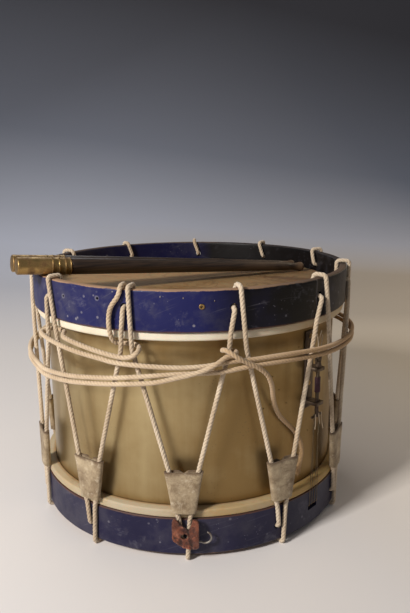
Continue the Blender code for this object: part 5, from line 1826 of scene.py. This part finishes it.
@dataclass
class BeltTab(Assembly):
    """The crumpled red leather tab on the front strands, with its stitching, and its wire hook."""

    angle: float = SIZES.phase - SIZES.cell / 2
    radius: float = 0.1975
    right: float = 0.0158
    leather: float = 0.0022
    wire: float = 0.0011
    curl: float = 0.0068
    reach: float = 0.0066
    hook_drop: float = 0.0248
    hook_out: float = 0.0036
    buckle: float = 0.0028
    ridge_width: float = 0.0035
    fold_width: float = 0.0017
    crumple_size: float = 0.0062
    seam: tuple[Point, ...] = ((-0.0111, -0.0170), (-0.0098, -0.0203), (-0.0049, -0.0242), (0.0003, -0.0273),
                               (0.0074, -0.0294), (0.0128, -0.0288))

    def build(self) -> None:
        """Lays the tab, its stitches and the hook on the bench."""
        bm = eased("belt_tab", 0.0004)
        bmesh.ops.triangulate(bm, faces=bm.faces)
        for _ in range(2):
            long = [edge for edge in bm.edges if edge.calc_length() > 0.0016]
            bmesh.ops.subdivide_edges(bm, edges=long, cuts=1)
            bmesh.ops.triangulate(bm, faces=bm.faces)
        place = facing(self.angle, self.radius, SIZES.lower_edge)
        back = place.inverted()
        # How far back each point lies in the buckled leather, which the finish draws as painted shade.
        hollow = bm.verts.layers.float.new("hollow")
        for vert in bm.verts:
            flat = back @ vert.co
            crumpled = self._buckled(flat)
            vert[hollow] = max(0.0, 1.0 - (flat.y - crumpled.y) / (0.45 * self.buckle))
            vert.co = place @ crumpled
        self.bench.lay("belt_tab_leather", bm, "red", "drum", ["belt_tab"], "red_leather", 50.0)
        self._build_stitches(place)
        self._build_hook()

    def _buckled(self, spot: Vector) -> Vector:
        """Where a point of the flat tab lies once the leather is buckled, always away from the strands.

        Args:
            spot: The point in the tab's own frame.

        Returns:
            Its new place in that frame.
        """
        face = SIZES.lean + SIZES.rope
        free = min(1.0, max(0.0, (-spot.y - face * 0.5) / (face * 0.5)))
        ridge = math.exp(-((spot.z + 0.013 + 0.55 * spot.x) / self.ridge_width) ** 2)
        patch = Vector((spot.x, 0.0, spot.z)) / self.crumple_size + Vector((3.1, 0.0, 1.7))
        crumple = 1.0 - 1.6 * abs(noise.noise(patch))
        fold = 1.0 - math.exp(-((spot.x - 0.0046 + 0.2 * (spot.z + 0.013)) / self.fold_width) ** 2)
        return spot - Vector((0.0, free * self.buckle * fold * (0.5 * crumple + 0.5 * ridge), 0.0))

    def _build_stitches(self, place: Matrix) -> None:
        """Short dark stitches along the tab's lower edge.

        Args:
            place: The tab's frame.
        """
        front = -(SIZES.lean + SIZES.rope + SIZES.gap + self.leather)
        thread = Lay(0.00030, 0.0006, 6)
        seam = evenly([Vector((x, front, z)) for x, z in self.seam], 0.0030)
        bm = bmesh.new()
        for before, after in zip(seam, seam[1:]):
            line = [self._buckled(before.lerp(after, share)) + Vector((0.0, sunk, 0.0))
                    for share, sunk in ((0.12, 0.0005), (0.25, -0.0001), (0.60, -0.0001), (0.72, 0.0005))]
            strung(bm, [place @ point for point in smooth_route(line, 3)], Vector((0.0, -1.0, 0.0)), thread)
        self.bench.lay("belt_tab_stitches", bm, "whipping", "drum", (), "red_leather")

    def _build_hook(self) -> None:
        """The open hook, bent from one wire."""
        inside = self.right - self.leather - 2 * self.wire
        centre = self.right + self.reach
        curve = arc((centre, 0.77 * self.curl), self.curl, -122, 70, 16)
        line = [(x, 0.0, z) for x, z in [(inside, 0.0), (inside + 0.003, 0.0), *curve]]
        place = facing(self.angle, self.radius + self.hook_out, SIZES.lower_edge - self.hook_drop)
        points = evenly([place @ Vector(spot) for spot in smooth_route(line, 3)], 0.0006)
        bm = bmesh.new()
        strung(bm, points, Vector((0.0, 1.0, 0.0)), Lay(self.wire, 0.0006, 14),
               taper=lambda share: 1.0 if share < 0.93 else 1.0 - 0.35 * ((share - 0.93) / 0.07) ** 2)
        self.bench.lay("belt_hook_wire", bm, "steel", "belt_hook", ["belt_hook"], "steel_wire", 50.0)


@dataclass
class HoopTrim(Assembly):
    """The eyelet of the upper hoop and a few old nail heads."""

    bore: float = 0.0013
    wall: float = 0.0006
    flange: float = 0.0030
    nails: tuple[Point, ...] = ((-23.1, 0.3000), (-8.3, 0.2970), (-1.6, 0.2960), (7.5, 0.2925))

    def build(self) -> None:
        """Lays the eyelet and the nails on the bench."""
        tube, back = self.bore + self.wall, -SIZES.hoop_wall
        face = SIZES.upper_face + SIZES.gap
        profile = [(self.bore, 0.0002), *arc((tube + 0.0001, 0.0003), 0.00045, 180, 90, 3),
                   *arc((self.flange - 0.0005, 0.0002), 0.0005, 90, 0, 4), (self.flange - 0.0002, 0.0),
                   (tube, 0.0), (tube, back), (self.bore, back)]
        bm = spun(profile, 32)
        angle, height, _ = SIZES.eyelet
        moved(bm, facing(angle, face, height) @ OUTWARDS)
        self.bench.lay("hoop_eyelet_brass", bm, "brass", "drum", ["hoop_eyelet"], "aged_brass", 50.0)
        nails = bmesh.new()
        for angle, height in self.nails:
            place = facing(angle, SIZES.upper_face - 0.0002, height) @ OUTWARDS
            made = bmesh.ops.create_uvsphere(nails, u_segments=12, v_segments=6, radius=0.0009,
                                             matrix=place @ Matrix.Diagonal((1.0, 1.0, 0.45, 1.0)))
            bmesh.ops.rotate(nails, verts=made["verts"], cent=place.translation,
                             matrix=Matrix.Rotation(math.radians(height * 9000), 3, "Z"))
        self.bench.lay("hoop_nails", nails, "steel", "drum", (), "steel_wire", 50.0)


# Drumsticks

@dataclass
class Sticks(Assembly):
    """The pair of sticks that lies across the top."""

    gap: float = 0.0007
    ferrule: float = 0.0100
    bead: float = 0.0004
    ferrule_length: float = 0.061
    wall: float = 0.0013
    tip: float = 0.0062
    neck: float = 0.0047
    tip_length: float = 0.013
    rest: Point = (-0.1607, -0.1024)
    tip_place: Point = (0.1520, 0.0570)
    overhang: float = 0.0340
    recess: float = 0.025
    hoop_radius: float = 0.200

    @property
    def plan_turn(self) -> float:
        """The sticks' direction in plan, from +X."""
        return math.atan2(self.tip_place[1] - self.rest[1], self.tip_place[0] - self.rest[0])

    def _frame(self, index: int) -> tuple[Matrix, float]:
        """A stick's frame, its butt at the origin and its tip along +Z, and its length.

        Args:
            index: 0 for the front stick, 1 for the rear one.

        Returns:
            The frame and the length.
        """
        start, tip = Vector(self.rest), Vector(self.tip_place)
        along = (tip - start).normalized()
        aside = Vector((-along.y, along.x)) * index * (2 * (self.ferrule + self.bead) + self.gap)
        start, tip = start + aside, tip + aside
        back = start.dot(along)
        ring = self.hoop_radius - SIZES.hoop_wall + SIZES.hoop_edge
        rest = start + along * (-back - math.sqrt(back ** 2 - start.length_squared + ring ** 2))
        run = (tip - rest).length
        tilt = math.atan2(self.recess + self.ferrule + self.bead - self.tip, run)
        height = SIZES.upper_rim + (self.ferrule + self.bead + SIZES.gap) / math.cos(tilt)
        way = Vector((along.x * math.cos(tilt), along.y * math.cos(tilt), -math.sin(tilt)))
        butt = Vector((rest.x, rest.y, height)) - way * self.overhang
        length = self.overhang + run / math.cos(tilt) + self.tip
        return Matrix.Translation(butt) @ way.to_track_quat("Z", "Y").to_matrix().to_4x4(), length

    def _shaft(self, length: float) -> list[Point]:
        """The shaft: a spigot in the ferrule, a long taper, a neck and an acorn tip.

        Args:
            length: The stick's length.

        Returns:
            Its (radius, height) outline, from the tip.
        """
        neck, lip = length - self.tip_length, self.ferrule_length + SIZES.gap
        spigot = self.ferrule - self.wall - SIZES.gap
        shoulder = self.ferrule - self.wall / 3
        taper = [(0.0, length), (self.tip * 0.42, length - 0.0005), (self.tip * 0.78, length - 0.0019),
                 (self.tip, length - 0.0052), (self.tip * 0.92, length - 0.0088),
                 (self.neck * 1.05, neck - 0.0005), (self.neck + 0.0003, neck - 0.010),
                 (self.neck + 0.0012, neck - 0.03), (self.ferrule * 0.78, length * 0.55),
                 (shoulder, lip + 0.02), (shoulder, lip + 0.0005)]
        outline = [(max(0.0, point.x), point.y) for point in smooth_route(taper, 4)]
        outline[0] = (0.0, length)
        foot = self.wall + SIZES.gap
        return outline + [(shoulder - 0.0004, lip), (spigot, lip), (spigot, foot), (0.0, foot)]

    def _cup(self) -> list[Point]:
        """The ferrule: a cup with a rounded butt and four rings by its mouth.

        Returns:
            Its (radius, height) outline, from the butt's inside.
        """
        bore, outer = self.ferrule - self.wall, self.ferrule
        outline = [(0.0, self.wall), (bore, self.wall), (bore, self.ferrule_length),
                   (outer - 0.0002, self.ferrule_length)]
        for back in (0.0, 0.006, 0.0134, 0.0209):
            ring = self.ferrule_length - back - 0.0009
            outline += [(outer, ring + 0.0008), *arc((outer - 0.0002, ring), 0.0006, 60, -60, 4),
                        (outer, ring - 0.0008), (outer - 0.00012, ring - 0.0011)]
        outline += [(outer, 0.0035), *arc((outer - 0.0014, 0.0014), 0.0014, 0, -90, 4), (0.0, 0.0)]
        return outline

    def build(self) -> None:
        """Lays both sticks on the bench."""
        self.bench.finishes["stick"] = StickWood(self.plan_turn).make()
        for index, name in enumerate(("front_stick", "rear_stick")):
            place, length = self._frame(index)
            for part, outline, finish, slot in (
                ("shaft", self._shaft(length), "stick", "dark_stick_wood"),
                ("ferrule", self._cup(), "brass", "aged_brass"),
            ):
                bm = spun(outline, 56, closed=False)
                moved(bm, place)
                self.bench.lay(f"{name}_{part}_turned", bm, finish, name, [f"{name}_{part}"], slot, 34.0)


# Studio

@dataclass
class Studio:
    """The floor, the lights and the camera."""

    focal: float = 631.85
    image_height: float = 613.0
    eye: Spot = (0.0099, -0.8174, 0.4285)
    pitch: float = 0.2247
    yaw: float = 0.0105
    roll: float = 0.0069
    sensor: float = 36.0
    half_width: float = 9.0
    front: float = -7.0
    level: float = 8.4
    sweep: float = 0.9
    rise: float = 2.6
    surround: Colour = (0.55, 0.57, 0.62)
    surround_power: float = 0.30
    aim: Spot = (0.0, 0.0, 0.15)

    def build(self) -> None:
        """Sets up the studio round the drum."""
        self._floor()
        self._camera()
        self._world()
        self._light("key", (-1.20, -1.30, 1.25), 0.34, 47.0, (1.0, 0.965, 0.925))
        self._light("fill", (1.35, 1.05, 1.0), 1.4, 7.5, (1.0, 0.80, 0.55))
        self._light("back", (-0.7, 1.4, 1.6), 1.3, 8.0, (0.95, 0.97, 1.0))
        bpy.context.scene.view_settings.view_transform = "Standard"

    def _floor(self) -> None:
        """A pale paper sweep, level under the drum and curved up behind it."""
        bm = bmesh.new()
        edge = bm.edges.new([bm.verts.new((side * self.half_width, self.front, 0.0)) for side in (-1, 1)])
        turns = [math.radians(90.0 * step / 12) for step in range(13)]
        steps = [Vector((0.0, self.level, 0.0))]
        steps += [Vector((0.0, math.sin(b) - math.sin(a), math.cos(a) - math.cos(b))) * self.sweep
                  for a, b in zip(turns, turns[1:])]
        steps.append(Vector((0.0, 0.0, self.rise)))
        for step in steps:
            made = bmesh.ops.extrude_edge_only(bm, edges=[edge])["geom"]
            verts = [item for item in made if isinstance(item, bmesh.types.BMVert)]
            edge = next(item for item in made if isinstance(item, bmesh.types.BMEdge))
            bmesh.ops.translate(bm, vec=step, verts=verts)
        floor = meshed("studio_floor", bm)
        floor.data.shade_smooth()
        floor.data.materials.append(StudioPaper().make())

    def _camera(self) -> None:
        """The camera at the place from which the drum is seen in the photograph."""
        data = bpy.data.cameras.new("view")
        camera = placed("view", data)
        ahead = Vector((math.sin(self.yaw) * math.cos(self.pitch), math.cos(self.yaw) * math.cos(self.pitch),
                        -math.sin(self.pitch)))
        right = Vector((math.cos(self.yaw), -math.sin(self.yaw), 0.0))
        level = Matrix((right, right.cross(ahead), -ahead)).transposed()
        camera.location = Vector(self.eye) + Vector(SIZES.axis)
        camera.rotation_mode = "QUATERNION"
        camera.rotation_quaternion = (Matrix.Rotation(self.roll, 3, ahead) @ level).to_quaternion()
        data.sensor_fit = "VERTICAL"
        data.sensor_height = self.sensor
        data.lens = self.focal * self.sensor / self.image_height
        bpy.context.scene.camera = camera

    def _world(self) -> None:
        """An even, neutral surround."""
        world = bpy.data.worlds.new("surround")
        world.use_nodes = True
        glow = world.node_tree.nodes["Background"]
        glow.inputs["Color"].default_value = (*self.surround, 1.0)
        glow.inputs["Strength"].default_value = self.surround_power
        bpy.context.scene.world = world

    def _light(self, name: str, place: Spot, size: float, power: float, colour: Colour) -> None:
        """A square soft light that faces the middle of the drum.

        Args:
            name: The light's name.
            place: Where it stands.
            size: Its side.
            power: Its power in watts.
            colour: Its colour.
        """
        data = bpy.data.lights.new(name, "AREA")
        data.shape = "SQUARE"
        data.size = size
        data.energy = power
        data.color = colour
        light = placed(name, data)
        light.location = place
        way = Vector(self.aim) - Vector(place)
        light.rotation_euler = way.to_track_quat("-Z", "Y").to_euler()


def main() -> None:
    """Builds the studio and then the drum, from the ropes inwards."""
    logging.basicConfig(level=logging.INFO, format="%(relativeCreated)d ms %(message)s")
    bench = Bench()
    Studio().build()
    lacing = Lacing(bench)
    upper, lower = (SIZES.upper_face, SIZES.upper_rim), (SIZES.lower_face, SIZES.lower_rim)
    cuts = (*SIZES.old_holes, SIZES.eyelet)
    for assembly in (
        SpareRope(bench),
        lacing,
        Ears(bench, lacing),
        BrassShell(bench),
        Counterhoop(bench, End.BATTER, "upper_counterhoop", *upper, SIZES.upper_seam, cuts),
        Counterhoop(bench, End.SNARE, "lower_counterhoop", *lower, SIZES.lower_seam),
        SkinHead(bench, End.BATTER, "batter_head", SIZES.batter, SIZES.upper_edge),
        SkinHead(bench, End.SNARE, "snare_head", SIZES.snare, SIZES.lower_edge),
        SnareGear(bench),
        BeltTab(bench),
        HoopTrim(bench),
        Sticks(bench),
    ):
        assembly.build()
    for node in ("upper_flesh_hoop", "lower_flesh_hoop"):
        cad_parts[node].data.materials.clear()
        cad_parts[node].data.materials.append(bench.finishes["timber"])


if __name__ == "__main__":
    main()
